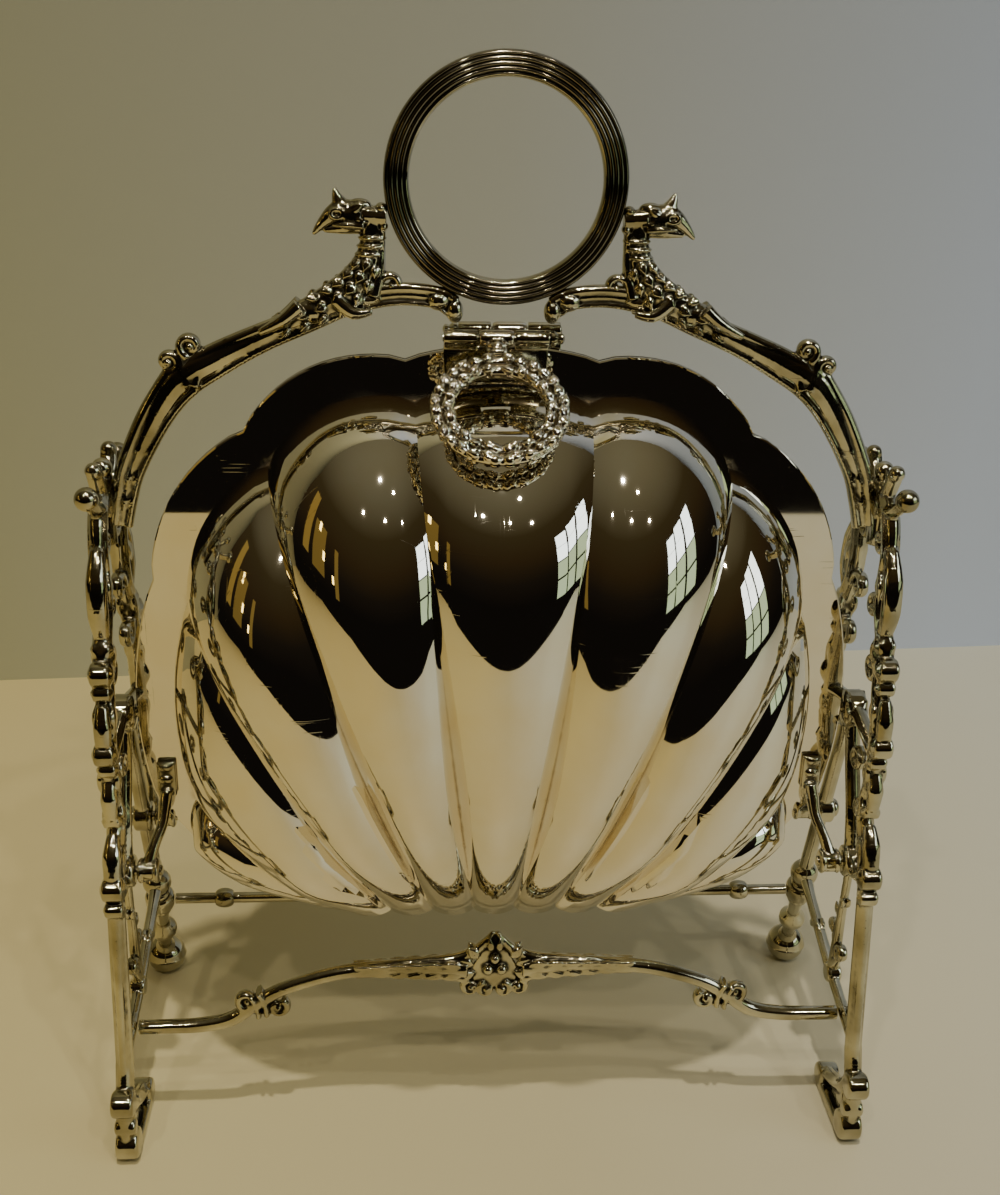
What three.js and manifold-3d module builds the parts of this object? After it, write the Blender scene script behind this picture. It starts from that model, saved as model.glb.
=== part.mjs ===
// Folding biscuit box of silver plate: two scalloped shells that open outwards between cast end
// frames, with a reeded ring handle carried by two crested beasts on a leafy bow.
// Millimetres, +Z up, front towards -Y, origin on the table under the middle of the box.
import * as THREE from 'three';
import { mergeVertices } from 'three/addons/utils/BufferGeometryUtils.js';
import Module from 'manifold-3d';

const wasm = await Module();
wasm.setup();

// Clearances shared by every piece
const gap = 0.3;
const overrun = 2;

// Counts of facets
const count = {
  lobe: 5, arc: 3, lower: 3, upper: 4, round: 8, ball: 6, sides: 6, ring: 32, wreath: 20, leaf: 6,
};

// Pivots of the two shells: the front one is given, the rear one is its mirror
const pivot = { y: 15, z: 79, pin: 1.5, barrel: 3.3, barrelLong: 6.5, head: 3, headLong: 2 };

// Shells
const shell = {
  halfWide: 86, high: 134.5, rimY: 0.4, wall: 1.1, flange: 11, flangeThick: 1.2,
  deep: 34, hollow: 14.3, bottomRise: 1.8, cornerRise: 4, rise: 6.6, fanZ: 112, arcSweep: 110,
};
const shellTop = pivot.z + shell.high;
const notchShares = [[1, 0], [1, 0.119], [0.983, 0.587], [0.715, 0.87], [0.267, 1]];
const bottomShares = [1, 0.488, 0.349, 0.209, 0.07];
const depthShares = [0, 0.19, 0.58, 0.86, 1];
const riseShares = [0.8, 1.05, 1.15, 1.12, 1];
const rimRiseShares = [0.4, 0.8, 1.05, 1.2, 0.58];
const deepestShare = 0.72;
const swellShare = 0.5;
const riseBy = 0.35;
const rimFrom = 0.8;
const fullness = 0.85;

// End frames and the legs behind them
const frame = {
  beside: 19.5, thick: 5.5, top: 197, reach: 30, rail: 2.6, slim: 2, ball: 3, bead: 2.4, hub: 5,
};
const midX = shell.halfWide + frame.beside;
const railShares = [
  [0, 0.968], [0.3, 0.94], [0.43, 0.893], [0.42, 0.843], [0.47, 0.8], [0.63, 0.756], [0.65, 0.71],
  [0.73, 0.66], [0.785, 0.61], [0.77, 0.558], [0.7, 0.508], [0.82, 0.467], [0.97, 0.426],
];
const legShares = [[0.97, 0.426], [1.03, 0.376], [1.1, 0.305], [1.17, 0.228], [1.25, 0.15]];
const scrollShares = [[0.97, 0.426], [0.9, 0.39], [0.76, 0.375]];
const crestShares = [[0, 0.885], [0, 0.975]];
const crossShares = [[-0.785, 0.6], [0, 0.628], [0.785, 0.6]];
const strutShares = [[-0.5, 0.401], [-0.4, 0.47], [-0.2, 0.54], [0, 0.62]];
const bridgeShares = [[-0.97, 0.43], [-0.75, 0.4], [-0.5, 0.401]];
const hornShares = [[0.2, 0.935], [0.45, 0.955], [0.66, 0.975]];
const ballShares = [
  [0.66, 0.975], [0.57, 0.873], [0.64, 0.785], [0.75, 0.762], [1.0, 0.462], [1.07, 0.435],
];
const beadShares = [[0.79, 0.7], [0.88, 0.615], [0.85, 0.54]];
const foot = { toe: 42, heel: 16, sole: 3, thick: 6.5, toeCurl: 4.6, heelCurl: 3.8, brow: 3.9, bar: 2.5 };
const browAt = { y: 44, z: 20.5 };
const shinShares = [[1.25, 0.15], [1.38, 0.1], [1.45, 0.055], [1.4, 0.025]];
const archShares = [[1.36, 0.095], [1.15, 0.062], [0.87, 0.04], [0.55, 0.02]];
const leg = {
  topY: 3.8, topZ: 115, collarY: 28, collarZ: 40, rod: 2.3, collar: 4.4, long: 5, boss: 4.6,
  bulb: 4.5, bulbUp: 8.6,
};
const ballFoot = { y: 45.6, radius: 6.5, flat: 0.8, neck: 2, disc: 4.2, discLong: 1.8, outward: 3 };
const brace = { rod: 1.8, thick: 2 };
const braceShares = [[-1.22, 0.165], [-0.75, 0.173], [-0.31, 0.19], [0.48, 0.226], [0.9, 0.24]];
const tendrilShares = [[-0.5, 0.373], [-0.45, 0.3], [-0.42, 0.19]];
const budShare = [-0.6, 0.24];
const twigShares = [[-0.6, 0.24], [-0.5, 0.22], [-0.43, 0.2]];

// Pivot arms of the shells
const arm = { beside: 8.3, z: 102, tabWide: 5.4, tabHigh: 11, tabThick: 1.6, rod: 1.9, bow: 3 };
const armX = shell.halfWide + arm.beside;

// Hinge and wreath pull at the top of each shell
const lug = {
  offset: -2, wide: 27, barrel: 2.1, y: 5.4, above: 17.5, pin: 0.9, plateThick: 1.3, plateAbove: 5.5,
};
const lugZ = shellTop + lug.above;
const plateLow = shellTop + lug.plateAbove;
const strap = { wide: 8, thick: 1.8, long: 5.5 };
const wreath = { radius: 14.6, tube: 3.3, thick: 2.3, leaf: 0.55, lean: 55 };

// Pierced grille inside each shell
const grille = {
  y: 6, z: 76, thick: 1.2, inset: 4.2, halfFoot: 54, barrel: 1.9, pin: 0.9, lugWide: 5, lugX: 32,
  fanShare: 0.35, leafWide: 8,
};
const pierceShares = [[0.16, 0.4], [0.45, 0.68], [0.73, 0.93]];
const knob = { radius: 1.5, neck: 0.7, long: 4, z: 196 };

// Handle
const tipShare = 0.42;
const ring = { above: 29.3, outer: 30.7, inner: 24.3, thick: 4.6, reed: 0.45, reeds: 3 };
const bow = { inset: 4.5, below: 35.5, rise: 62, root: 3.1, tip: 2, knee: 3.7, thick: 2.3, curl: 3 };
const bowSpan = midX - bow.inset;
const bowFoot = shellTop - bow.below;
const ringZ = bowFoot + bow.rise + ring.above;
const bowShares = [
  [1, 0.03], [0.965, 0.27], [0.9, 0.48], [0.83, 0.65], [0.735, 0.735], [0.62, 0.83], [0.49, 0.915],
  [0.385, 0.985], [0.27, 1.02], [0.165, 1],
];
const curlShares = [[0.845, 0.72], [0.79, 0.78]];
const beast = { below: 11, high: 38, body: 4.4, neck: 2.7, head: 3.6, thick: 3.1, tip: 0.7 };
const beastShare = 0.495;
const beastReach = bowSpan * beastShare;
const beastFoot = bowFoot + bow.rise - beast.below;
const beastShares = [
  [1.3, 0], [1.12, 0.09], [0.95, 0.25], [0.82, 0.4], [0.75, 0.55], [0.7, 0.7], [0.72, 0.84],
];
const headShares = [[0.7, 0.82], [0.79, 0.88], [0.88, 0.86], [0.99, 0.77]];
const tuftShares = [[0.78, 0.88], [0.83, 0.95], [0.88, 1.02]];
const napeShare = [0.72, 0.85];

// Stretchers between the end frames
const stretcher = { y: 26.5, rod: 2.2, endZ: 33, rise: 19.5, inset: 2.5, curl: 3.2 };
const stretcherSpan = midX - stretcher.inset;
const stretcherShares = [
  [1, 0], [0.83, 0.02], [0.74, 0.13], [0.665, 0.42], [0.58, 0.68], [0.42, 0.94], [0.22, 1], [0, 0.95],
];
const stretcherCurlShares = [[0.69, 0.52], [0.645, 0.4]];
const cartouche = { topZ: 65, bottomZ: 45.5, half: 7.5, thick: 4.2, ball: 2.2, berry: 1.4 };
const rearRod = { radius: 1.7, knop: 3, knopShare: 0.16 };

const plate = { colour: 0xd9d2c0, roughness: 0.12, metalness: 1 };
const casting = { colour: 0xc8bd9f, roughness: 0.28, metalness: 1 };
const darkened = { colour: 0x6f6450, roughness: 0.34, metalness: 1 };
const gilt = { colour: 0xc9a961, roughness: 0.25, metalness: 1 };

// Helpers
const box = new THREE.Group();
const vec = (x, y, z) => new THREE.Vector3(x, y, z);
const mix = (a, b, t) => a + (b - a) * t;
const ease = (t) => {
  const s = Math.min(Math.max(t, 0), 1);
  return s * s * (3 - 2 * s);
};
const rad = THREE.MathUtils.degToRad;

function closed(geometry) {
  const bare = geometry.clone();
  bare.deleteAttribute('normal');
  bare.deleteAttribute('uv');
  const merged = mergeVertices(bare);
  const index = Array.from(merged.index.array);
  const kept = [];
  for (let i = 0; i < index.length; i += 3) {
    const [a, b, c] = index.slice(i, i + 3);
    if (a !== b && b !== c && c !== a) kept.push(a, b, c);
  }
  merged.setIndex(kept);
  if (volumeOf(merged) < 0) {
    for (let i = 0; i < kept.length; i += 3) [kept[i], kept[i + 1]] = [kept[i + 1], kept[i]];
    merged.setIndex(kept);
  }
  return merged;
}

function volumeOf(geometry) {
  const place = geometry.attributes.position;
  const index = geometry.index.array;
  const [a, b, c] = [vec(0, 0, 0), vec(0, 0, 0), vec(0, 0, 0)];
  let volume = 0;
  for (let i = 0; i < index.length; i += 3) {
    a.fromBufferAttribute(place, index[i]);
    b.fromBufferAttribute(place, index[i + 1]);
    c.fromBufferAttribute(place, index[i + 2]);
    volume += a.dot(b.cross(c)) / 6;
  }
  return volume;
}

function solid(geometry) {
  const shape = closed(geometry);
  const vertProperties = new Float32Array(shape.attributes.position.array);
  const triVerts = new Uint32Array(shape.index.array);
  return new wasm.Manifold(new wasm.Mesh({ numProp: 3, vertProperties, triVerts }));
}

function geometryOf(manifold) {
  const mesh = manifold.getMesh();
  const geometry = new THREE.BufferGeometry();
  geometry.setAttribute('position', new THREE.BufferAttribute(new Float32Array(mesh.vertProperties), 3));
  geometry.setIndex(new THREE.BufferAttribute(new Uint32Array(mesh.triVerts), 1));
  return geometry;
}

const joined = (shapes) => shapes.reduce((whole, next) => whole.add(next));

function place(group, name, shape, finish) {
  const geometry = shape.isBufferGeometry ? closed(shape) : geometryOf(shape);
  const { colour, roughness, metalness } = finish;
  const mesh = new THREE.Mesh(
    geometry, new THREE.MeshStandardMaterial({ color: colour, roughness, metalness }));
  mesh.name = name;
  group.add(mesh);
  return mesh;
}

// A skin over rows of points, with a flat fan at both ends unless the rows come round again
function skin(rows, endless = false) {
  const wide = rows[0].length;
  const points = rows.flat();
  const index = [];
  const last = endless ? rows.length : rows.length - 1;
  for (let i = 0; i < last; i += 1) {
    const here = i * wide;
    const next = ((i + 1) % rows.length) * wide;
    for (let j = 0; j < wide; j += 1) {
      const k = (j + 1) % wide;
      index.push(here + j, next + j, next + k, here + j, next + k, here + k);
    }
  }
  if (!endless) {
    for (const [row, flip] of [[rows[0], false], [rows[rows.length - 1], true]]) {
      const start = flip ? (rows.length - 1) * wide : 0;
      points.push(row.reduce((sum, p) => sum.add(p), vec(0, 0, 0)).divideScalar(wide));
      const middle = points.length - 1;
      for (let j = 0; j < wide; j += 1) {
        const k = (j + 1) % wide;
        index.push(middle, start + (flip ? k : j), start + (flip ? j : k));
      }
    }
  }
  const geometry = new THREE.BufferGeometry().setFromPoints(points);
  geometry.setIndex(index);
  return geometry;
}

// A bar of oval section along a curve that lies in one plane; its width follows a list of sizes
function limb(points, widths, thick, across, steps = 12, sides = count.sides) {
  const curve = new THREE.CatmullRomCurve3(points, false, 'centripetal');
  const rows = [];
  for (let i = 0; i <= steps; i += 1) {
    const t = i / steps;
    const at = (widths.length - 1) * t;
    const low = Math.min(Math.floor(at), widths.length - 2);
    const half = mix(widths[low], widths[low + 1], at - low);
    const side = curve.getTangent(t).cross(across).normalize();
    const middle = curve.getPoint(t);
    const row = [];
    for (let j = 0; j < sides; j += 1) {
      const turn = ((j + 0.5) / sides) * Math.PI * 2;
      row.push(middle.clone()
        .addScaledVector(side, Math.cos(turn) * half)
        .addScaledVector(across, Math.sin(turn) * thick));
    }
    rows.push(row);
  }
  return skin(rows);
}

function ball(at, radius, faces = count.ball) {
  const geometry = new THREE.SphereGeometry(radius, faces, Math.ceil(faces / 2) + 1);
  geometry.rotateX(Math.PI / 2);
  geometry.translate(at.x, at.y, at.z);
  return geometry;
}

function rod(from, to, radius, sides = count.round) {
  const long = from.distanceTo(to);
  const geometry = new THREE.CylinderGeometry(radius, radius, long, sides);
  const way = to.clone().sub(from).normalize();
  geometry.applyQuaternion(new THREE.Quaternion().setFromUnitVectors(vec(0, 1, 0), way));
  const middle = from.clone().lerp(to, 0.5);
  geometry.translate(middle.x, middle.y, middle.z);
  return geometry;
}

// A turned piece: [distance along, radius] pairs between two points
function turned(from, to, profile, sides = count.round) {
  const way = to.clone().sub(from).normalize();
  const outline = profile.map(([along, radius]) => new THREE.Vector2(radius, along));
  const geometry = new THREE.LatheGeometry(outline, sides);
  geometry.applyQuaternion(new THREE.Quaternion().setFromUnitVectors(vec(0, 1, 0), way));
  geometry.translate(from.x, from.y, from.z);
  return geometry;
}

function block(wide, deep, high, at) {
  const geometry = new THREE.BoxGeometry(wide, deep, high);
  geometry.translate(at.x, at.y, at.z);
  return geometry;
}

const alongX = vec(1, 0, 0);
const alongY = vec(0, 1, 0);

// Shell: nine lobes that fan out from the bottom, between valleys that run from the pivot line
// round the belly and up to a rim, with a flat lobed flange round the mouth
function valleyPoint(k, row) {
  const side = k < 5 ? -1 : 1;
  const i = k < 5 ? k : 9 - k;
  const tip = vec(side * shell.halfWide, -shell.rimY - shell.flangeThick, pivot.z);
  if (i === 0) return tip;
  const foot = side * bottomShares[i] * shell.halfWide;
  const radius = shell.hollow - shell.bottomRise * row.swell;
  if (row.turn !== undefined) {
    const y = -pivot.y + radius * Math.cos(row.turn);
    return vec(foot, y, pivot.z - radius * Math.sin(row.turn));
  }
  const end = rad(shell.arcSweep);
  const startY = pivot.y - radius * Math.cos(end) - shell.rimY - shell.flangeThick;
  const startZ = pivot.z - radius * Math.sin(end);
  const [acrossShare, upShare] = notchShares[i];
  const y = startY * (1 - row.a * row.a) + depthShares[i] * shell.deep * row.belly;
  return vec(
    mix(foot, side * acrossShare * shell.halfWide, row.a),
    -y - shell.rimY - shell.flangeThick,
    mix(startZ, pivot.z + upShare * shell.high, row.a));
}

function shellRows() {
  const rows = [];
  for (let i = 0; i <= count.arc; i += 1) {
    const share = i / count.arc;
    rows.push({ turn: rad(shell.arcSweep) * share, swell: ease(share / swellShare), a: 0 });
  }
  for (let i = 1; i <= count.lower; i += 1) {
    const t = i / count.lower;
    rows.push({ a: deepestShare * t, belly: Math.sin((Math.PI / 2) * t) ** fullness, swell: 1 });
  }
  for (let i = 1; i <= count.upper; i += 1) {
    const turn = (Math.PI / 2) * (i / count.upper);
    const a = mix(deepestShare, 1, Math.sin(turn));
    rows.push({ a, belly: i === count.upper ? 0 : Math.cos(turn), swell: 1 });
  }
  return rows;
}

function lobeRise(k, row) {
  const i = Math.min(k, 8 - k);
  const low = (i === 0 ? shell.cornerRise : shell.bottomRise) * row.swell;
  if (row.turn !== undefined) return low;
  const middle = mix(low, riseShares[i] * shell.rise, ease(row.a / riseBy));
  return mix(middle, rimRiseShares[i] * shell.rise, ease((row.a - rimFrom) / (1 - rimFrom)));
}

// The outer skin as columns from the left tip to the right tip, each with all the rows
function shellColumns() {
  const rows = shellRows();
  const columns = [];
  for (let k = 0; k < 9; k += 1) {
    const left = rows.map((row) => valleyPoint(k, row));
    const right = rows.map((row) => valleyPoint(k + 1, row));
    const middle = left.map((p, j) => p.clone().lerp(right[j], 0.5));
    const columnAt = (w) => rows.map((row, j) => {
      const before = middle[Math.max(j - 1, 0)];
      const after = middle[Math.min(j + 1, rows.length - 1)];
      const out = right[j].clone().sub(left[j]).cross(after.clone().sub(before));
      if (j === rows.length - 1) out.y = 0;
      out.normalize();
      if (out.dot(middle[j].clone().sub(vec(0, -pivot.y, shell.fanZ))) < 0) out.negate();
      const lift = w === 0 || w === 1 ? 0 : lobeRise(k, row) * Math.sin(Math.PI * w) ** fullness;
      return left[j].clone().lerp(right[j], w).addScaledVector(out, lift);
    });
    for (let i = 0; i < count.lobe; i += 1) columns.push(columnAt(i / count.lobe));
    if (k === 8) columns.push(columnAt(1));
  }
  return columns;
}

function shellGeometry() {
  const columns = shellColumns();
  const rowCount = columns[0].length;
  const fan = vec(0, 0, shell.fanZ);
  const loops = columns.map((column, c) => {
    if (c === 0 || c === columns.length - 1) {
      return new Array(2 * rowCount + 2).fill(column[0]);
    }
    const inner = column.map((p, j) => {
      const up = column[Math.min(j + 1, rowCount - 1)].clone().sub(column[Math.max(j - 1, 0)]);
      const over = columns[c + 1][j].clone().sub(columns[c - 1][j]);
      const out = over.cross(up).normalize();
      if (out.dot(p.clone().sub(vec(0, -pivot.y, shell.fanZ))) < 0) out.negate();
      if (j === rowCount - 1) {
        out.y = 0;
        out.normalize();
        return p.clone().addScaledVector(out, -shell.wall).setY(-shell.rimY);
      }
      if (j === 0) out.set(0, 1, 0);
      return p.clone().addScaledVector(out, -shell.wall);
    });
    const rim = column[rowCount - 1];
    const way = rim.clone().sub(fan).setY(0).normalize();
    const share = Math.min(c, columns.length - 1 - c) / count.lobe;
    const wide = shell.flange * Math.min(share * share, 1);
    const edge = rim.clone().addScaledVector(way, wide);
    return [...column, edge, edge.clone().setY(-shell.rimY), ...inner.reverse()];
  });
  return skin(loops);
}

// The lobed outline of the mouth, moved in towards the middle of the fan
function mouthOutline(inset) {
  const columns = shellColumns();
  const fan = vec(0, 0, shell.fanZ);
  return columns.slice(count.lobe, columns.length - count.lobe).map((column) => {
    const rim = column[column.length - 1].clone().setY(0);
    const way = rim.clone().sub(fan).normalize();
    return rim.addScaledVector(way, -inset);
  });
}

function flatSolid(shape) {
  const geometry = new THREE.ExtrudeGeometry(shape, { depth: grille.thick, bevelEnabled: false });
  geometry.rotateX(Math.PI / 2);
  geometry.translate(0, -grille.y + grille.thick / 2, 0);
  return solid(geometry);
}

function grillePlate() {
  const outline = mouthOutline(grille.inset).map((p) => new THREE.Vector2(p.x, p.z));
  const footZ = grille.z + grille.barrel + gap;
  outline.push(new THREE.Vector2(grille.halfFoot, footZ));
  outline.push(new THREE.Vector2(-grille.halfFoot, footZ));
  let whole = flatSolid(new THREE.Shape(outline));
  const columns = shellColumns();
  for (let k = 1; k < 8; k += 1) {
    const rim = columns[k * count.lobe + Math.floor(count.lobe / 2)];
    const tip = rim[rim.length - 1].clone();
    tip.addScaledVector(tip.clone().sub(vec(0, 0, shell.fanZ)).normalize(), -grille.inset);
    const root = vec(tip.x * grille.fanShare, 0, footZ);
    for (const [from, to] of pierceShares) {
      whole = whole.subtract(flatSolid(
        leafShape(root.clone().lerp(tip, from), root.clone().lerp(tip, to), grille.leafWide * to)));
    }
  }
  return whole;
}

// A pointed oval from one point to another
function leafShape(start, end, half) {
  const long = Math.hypot(end.x - start.x, end.z - start.z);
  const way = new THREE.Vector2(end.x - start.x, end.z - start.z).normalize();
  const out = new THREE.Vector2(-way.y, way.x);
  const points = [];
  for (let j = 0; j < count.leaf; j += 1) {
    const turn = (j / count.leaf) * Math.PI * 2;
    const along = (0.5 - 0.5 * Math.cos(turn)) * long;
    const over = Math.sin(turn) * half;
    points.push(new THREE.Vector2(
      start.x + way.x * along + out.x * over, start.z + way.y * along + out.y * over));
  }
  return new THREE.Shape(points);
}

function shellSet(name) {
  const set = new THREE.Group();
  place(set, `${name}_shell`, shellGeometry(), plate);

  // Cast arms that carry the shell on its pivots
  for (const [side, word] of [[-1, 'left'], [1, 'right']]) {
    const tabY = -(shell.rimY + shell.flangeThick + gap + arm.tabThick / 2);
    const tab = block(arm.tabWide, arm.tabThick, arm.tabHigh, vec(side * armX, tabY, arm.z));
    const barrelX = side * (midX - frame.thick / 2 - gap * 3 - pivot.barrelLong);
    const barrelFrom = vec(barrelX, -pivot.y, pivot.z);
    const barrelTo = vec(barrelX + side * pivot.barrelLong, -pivot.y, pivot.z);
    const middle = vec(barrelX + side * pivot.barrelLong / 2, -pivot.y, pivot.z);
    const low = arm.z - arm.tabHigh / 2;
    const startY = tabY + arm.tabThick / 2 - arm.rod;
    const route = [
      vec(side * armX, startY, low + arm.rod),
      vec(side * armX, startY - arm.bow, mix(low, pivot.z, 0.3)),
      vec(middle.x - side * arm.rod, -pivot.y + arm.bow, mix(low, pivot.z, 0.7)),
      middle,
    ];
    const bend = new THREE.ExtrudeGeometry(
      new THREE.Shape().absarc(0, 0, arm.rod, 0, Math.PI * 2), {
        steps: 8, curveSegments: 5, bevelEnabled: false,
        extrudePath: new THREE.CatmullRomCurve3(route),
      });
    const bore = rod(
      vec(barrelFrom.x - side * overrun, -pivot.y, pivot.z),
      vec(barrelTo.x + side * overrun, -pivot.y, pivot.z), pivot.pin + gap);
    const whole = joined([tab, bend, rod(barrelFrom, barrelTo, pivot.barrel)].map(solid));
    place(set, `${name}_arm_${word}`, whole.subtract(solid(bore)), casting);
  }

  // Hinge at the top: a plate on the flange with two outer knuckles, and a headed pin
  const third = lug.wide / 3;
  const left = lug.offset - lug.wide / 2;
  const axisAt = (x) => vec(x, -lug.y, lugZ);
  const plateY = shell.rimY + shell.flangeThick + gap + lug.plateThick / 2;
  const plateHigh = lugZ - plateLow;
  const plateMid = vec(lug.offset, -plateY, plateLow + plateHigh / 2);
  const gapCut = third + gap * 2;
  const cutDeep = (lug.barrel + gap) * 2;
  const leaf = joined([
    block(lug.wide, lug.plateThick, plateHigh, plateMid),
    rod(axisAt(left), axisAt(left + lug.wide), lug.barrel),
    block(lug.wide, lug.y - plateY, lug.barrel, vec(lug.offset, -(lug.y + plateY) / 2, lugZ)),
  ].map(solid))
    .subtract(solid(block(gapCut, cutDeep + lug.y, cutDeep, axisAt(lug.offset))))
    .subtract(solid(rod(axisAt(left - overrun), axisAt(left + lug.wide + overrun), lug.pin + gap)));
  place(set, `${name}_hinge_plate`, leaf, casting);
  const pinFrom = axisAt(left - gap);
  const pinLong = lug.wide + gap * 2;
  place(set, `${name}_hinge_pin`, turned(pinFrom, axisAt(left + pinLong), [
    [0, 0], [0, lug.pin], [pinLong, lug.pin], [pinLong, lug.barrel * 0.8],
    [pinLong + lug.barrel, lug.barrel * 0.9], [pinLong + lug.barrel * 1.6, 0],
  ]), casting);

  // Wreath pull, hung on the middle knuckle and lying on the shoulder of the shell
  const pull = new THREE.Group();
  pull.position.set(lug.offset, -lug.y, lugZ);
  pull.rotation.x = -rad(wreath.lean);
  const knuckle = solid(rod(vec(-third / 2, 0, 0), vec(third / 2, 0, 0), lug.barrel))
    .add(solid(block(strap.wide, strap.thick, strap.long, vec(0, 0, -strap.long / 2))))
    .subtract(solid(rod(vec(-third, 0, 0), vec(third, 0, 0), lug.pin + gap)));
  place(pull, `${name}_pull_strap`, knuckle, casting);
  const leaves = wreathGeometry();
  leaves.translate(0, 0, -strap.long - gap - wreath.radius - wreath.tube);
  place(pull, `${name}_wreath`, leaves, casting);
  set.add(pull);

  // Pierced grille on a hinge inside the bottom of the shell
  const eye = (x) => vec(x, -grille.y, grille.z);
  const cutter = (from, to) => solid(rod(eye(from), eye(to), grille.pin + gap));
  const knuckleTo = grille.lugX - grille.lugWide / 2 - gap;
  const rolled = joined([
    rod(eye(-knuckleTo), eye(knuckleTo), grille.barrel),
    block(knuckleTo * 2, grille.thick, grille.barrel * 2, eye(0).add(vec(0, 0, grille.barrel))),
  ].map(solid));
  const plateSolid = grillePlate().add(rolled).subtract(cutter(-knuckleTo - overrun, knuckleTo + overrun));
  place(set, `${name}_grille`, plateSolid, gilt);
  place(set, `${name}_grille_pin`, rod(
    eye(-grille.lugX - grille.lugWide / 2), eye(grille.lugX + grille.lugWide / 2), grille.pin), casting);
  for (const [side, word] of [[-1, 'left'], [1, 'right']]) {
    const from = side * grille.lugX - grille.lugWide / 2;
    const eyePiece = solid(rod(eye(from), eye(from + grille.lugWide), grille.barrel));
    const floor = shell.hollow - shell.bottomRise - shell.wall - gap;
    const under = pivot.y - grille.y;
    const footZ = pivot.z - Math.sqrt(floor * floor - under * under);
    const stem = solid(block(
      grille.lugWide, grille.barrel * 2, grille.z - footZ,
      vec(side * grille.lugX, -grille.y - grille.barrel, (grille.z + footZ) / 2)));
    place(set, `${name}_grille_lug_${word}`,
      eyePiece.add(stem).subtract(cutter(from - overrun, from + grille.lugWide + overrun)), casting);
  }
  const knobFoot = vec(0, -grille.y + grille.thick / 2 + gap, knob.z);
  place(set, `${name}_grille_knob`, turned(knobFoot, knobFoot.clone().add(alongY), [
    [0, 0], [0, knob.radius], [knob.long * 0.2, knob.neck], [knob.long * 0.45, knob.neck],
    [knob.long * 0.7, knob.radius], [knob.long - gap, knob.neck], [knob.long - gap, 0],
  ], 8), gilt);
  return set;
}

// A wreath of leaves: a ring whose section swells and turns with each leaf
function wreathGeometry() {
  const rows = [];
  for (let i = 0; i < count.wreath; i += 1) {
    const turn = (i / count.wreath) * Math.PI * 2;
    const swell = i % 2 === 0 ? 1 : 1 - wreath.leaf / 2;
    const row = [];
    for (let j = 0; j < 8; j += 1) {
      const round = (j / 8) * Math.PI * 2;
      const out = wreath.radius + Math.cos(round) * wreath.tube * swell;
      row.push(vec(
        Math.sin(turn) * out, Math.sin(round) * wreath.thick * swell, Math.cos(turn) * out));
    }
    rows.push(row);
  }
  return skin(rows, true);
}

box.add(shellSet('front'));
const rear = shellSet('rear');
rear.rotation.z = Math.PI;
box.add(rear);

// Reeded ring handle
function ringGeometry() {
  const half = ring.thick / 2;
  const wide = ring.outer - ring.inner;
  const front = [];
  for (let i = 0; i <= ring.reeds * 2; i += 1) {
    const share = i / (ring.reeds * 2);
    const crown = Math.sin(Math.PI * share) * ring.reed * 2;
    const groove = i % 2 === 0 ? -ring.reed : 0;
    front.push([ring.inner + wide * share, half * 0.75 + crown + groove]);
  }
  const back = front.map(([radius, y]) => [radius, -y]).reverse();
  const outline = [...front, ...back].map(([radius, y]) => new THREE.Vector2(radius, y));
  outline.push(outline[0].clone());
  const geometry = new THREE.LatheGeometry(outline, count.ring);
  return geometry.translate(0, 0, ringZ);
}
place(box, 'handle_ring', ringGeometry(), darkened);


// Bow under the ring, in two leafy halves whose roots lie against the end frames
const innerFace = midX - frame.thick / 2 - gap;
const spread = (side, shares, wide, base, high, y = 0) =>
  shares.map(([across, up]) => vec(side * across * wide, y, base + up * high));
const tipX = ring.outer * tipShare;
const tipReach = ring.outer + gap + bow.curl;
const tipZ = ringZ - Math.sqrt(tipReach * tipReach - tipX * tipX);

function bowSolid(side, swell = 0) {
  const route = spread(side, bowShares, bowSpan, bowFoot, bow.rise);
  const stem = limb([...route, vec(side * tipX, 0, tipZ)],
    [bow.root, bow.root, bow.root, bow.knee, bow.root, bow.knee, bow.root, bow.tip, bow.tip]
      .map((half) => half + swell), bow.thick + swell, alongY, 12);
  const curls = spread(side, curlShares, bowSpan, bowFoot, bow.rise);
  const parts = [stem, ball(vec(side * tipX, 0, tipZ), bow.curl)];
  for (const at of curls) parts.push(ball(at, bow.curl + swell));
  const far = block(bowSpan, bowSpan, bowSpan * 2,
    vec(side * (innerFace + bowSpan / 2), 0, bowFoot));
  return joined(parts.map(solid)).subtract(solid(far));
}

// Crested beasts that sit on the bow and carry the ring between their necks
function beastSolid(side) {
  const lay = (shares) => spread(side, shares, beastReach, beastFoot, beast.high);
  const body = limb(lay(beastShares),
    [beast.tip, beast.neck, beast.body, beast.body, beast.neck, beast.neck, beast.neck],
    beast.thick, alongY, 9);
  const head = limb(lay(headShares), [beast.neck, beast.head, beast.neck, beast.tip],
    beast.neck, alongY, 6);
  const crest = limb(lay(tuftShares), [beast.neck, beast.neck * 0.7, beast.tip],
    beast.neck * 0.6, alongY, 4);
  const [napeAt] = lay([napeShare]);
  const nape = limb([napeAt, vec(side * ring.outer, 0, napeAt.z)],
    [beast.neck, beast.neck], beast.neck, alongY, 2);
  const disc = rod(vec(0, -ring.thick, ringZ), vec(0, ring.thick, ringZ),
    ring.outer + gap, count.ring);
  return joined([body, head, crest, nape].map(solid))
    .subtract(bowSolid(side, gap)).subtract(solid(disc));
}
for (const [side, word] of [[-1, 'left'], [1, 'right']]) {
  place(box, `handle_bow_${word}`, bowSolid(side), casting);
  place(box, `beast_${word}`, beastSolid(side), casting);
}

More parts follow.
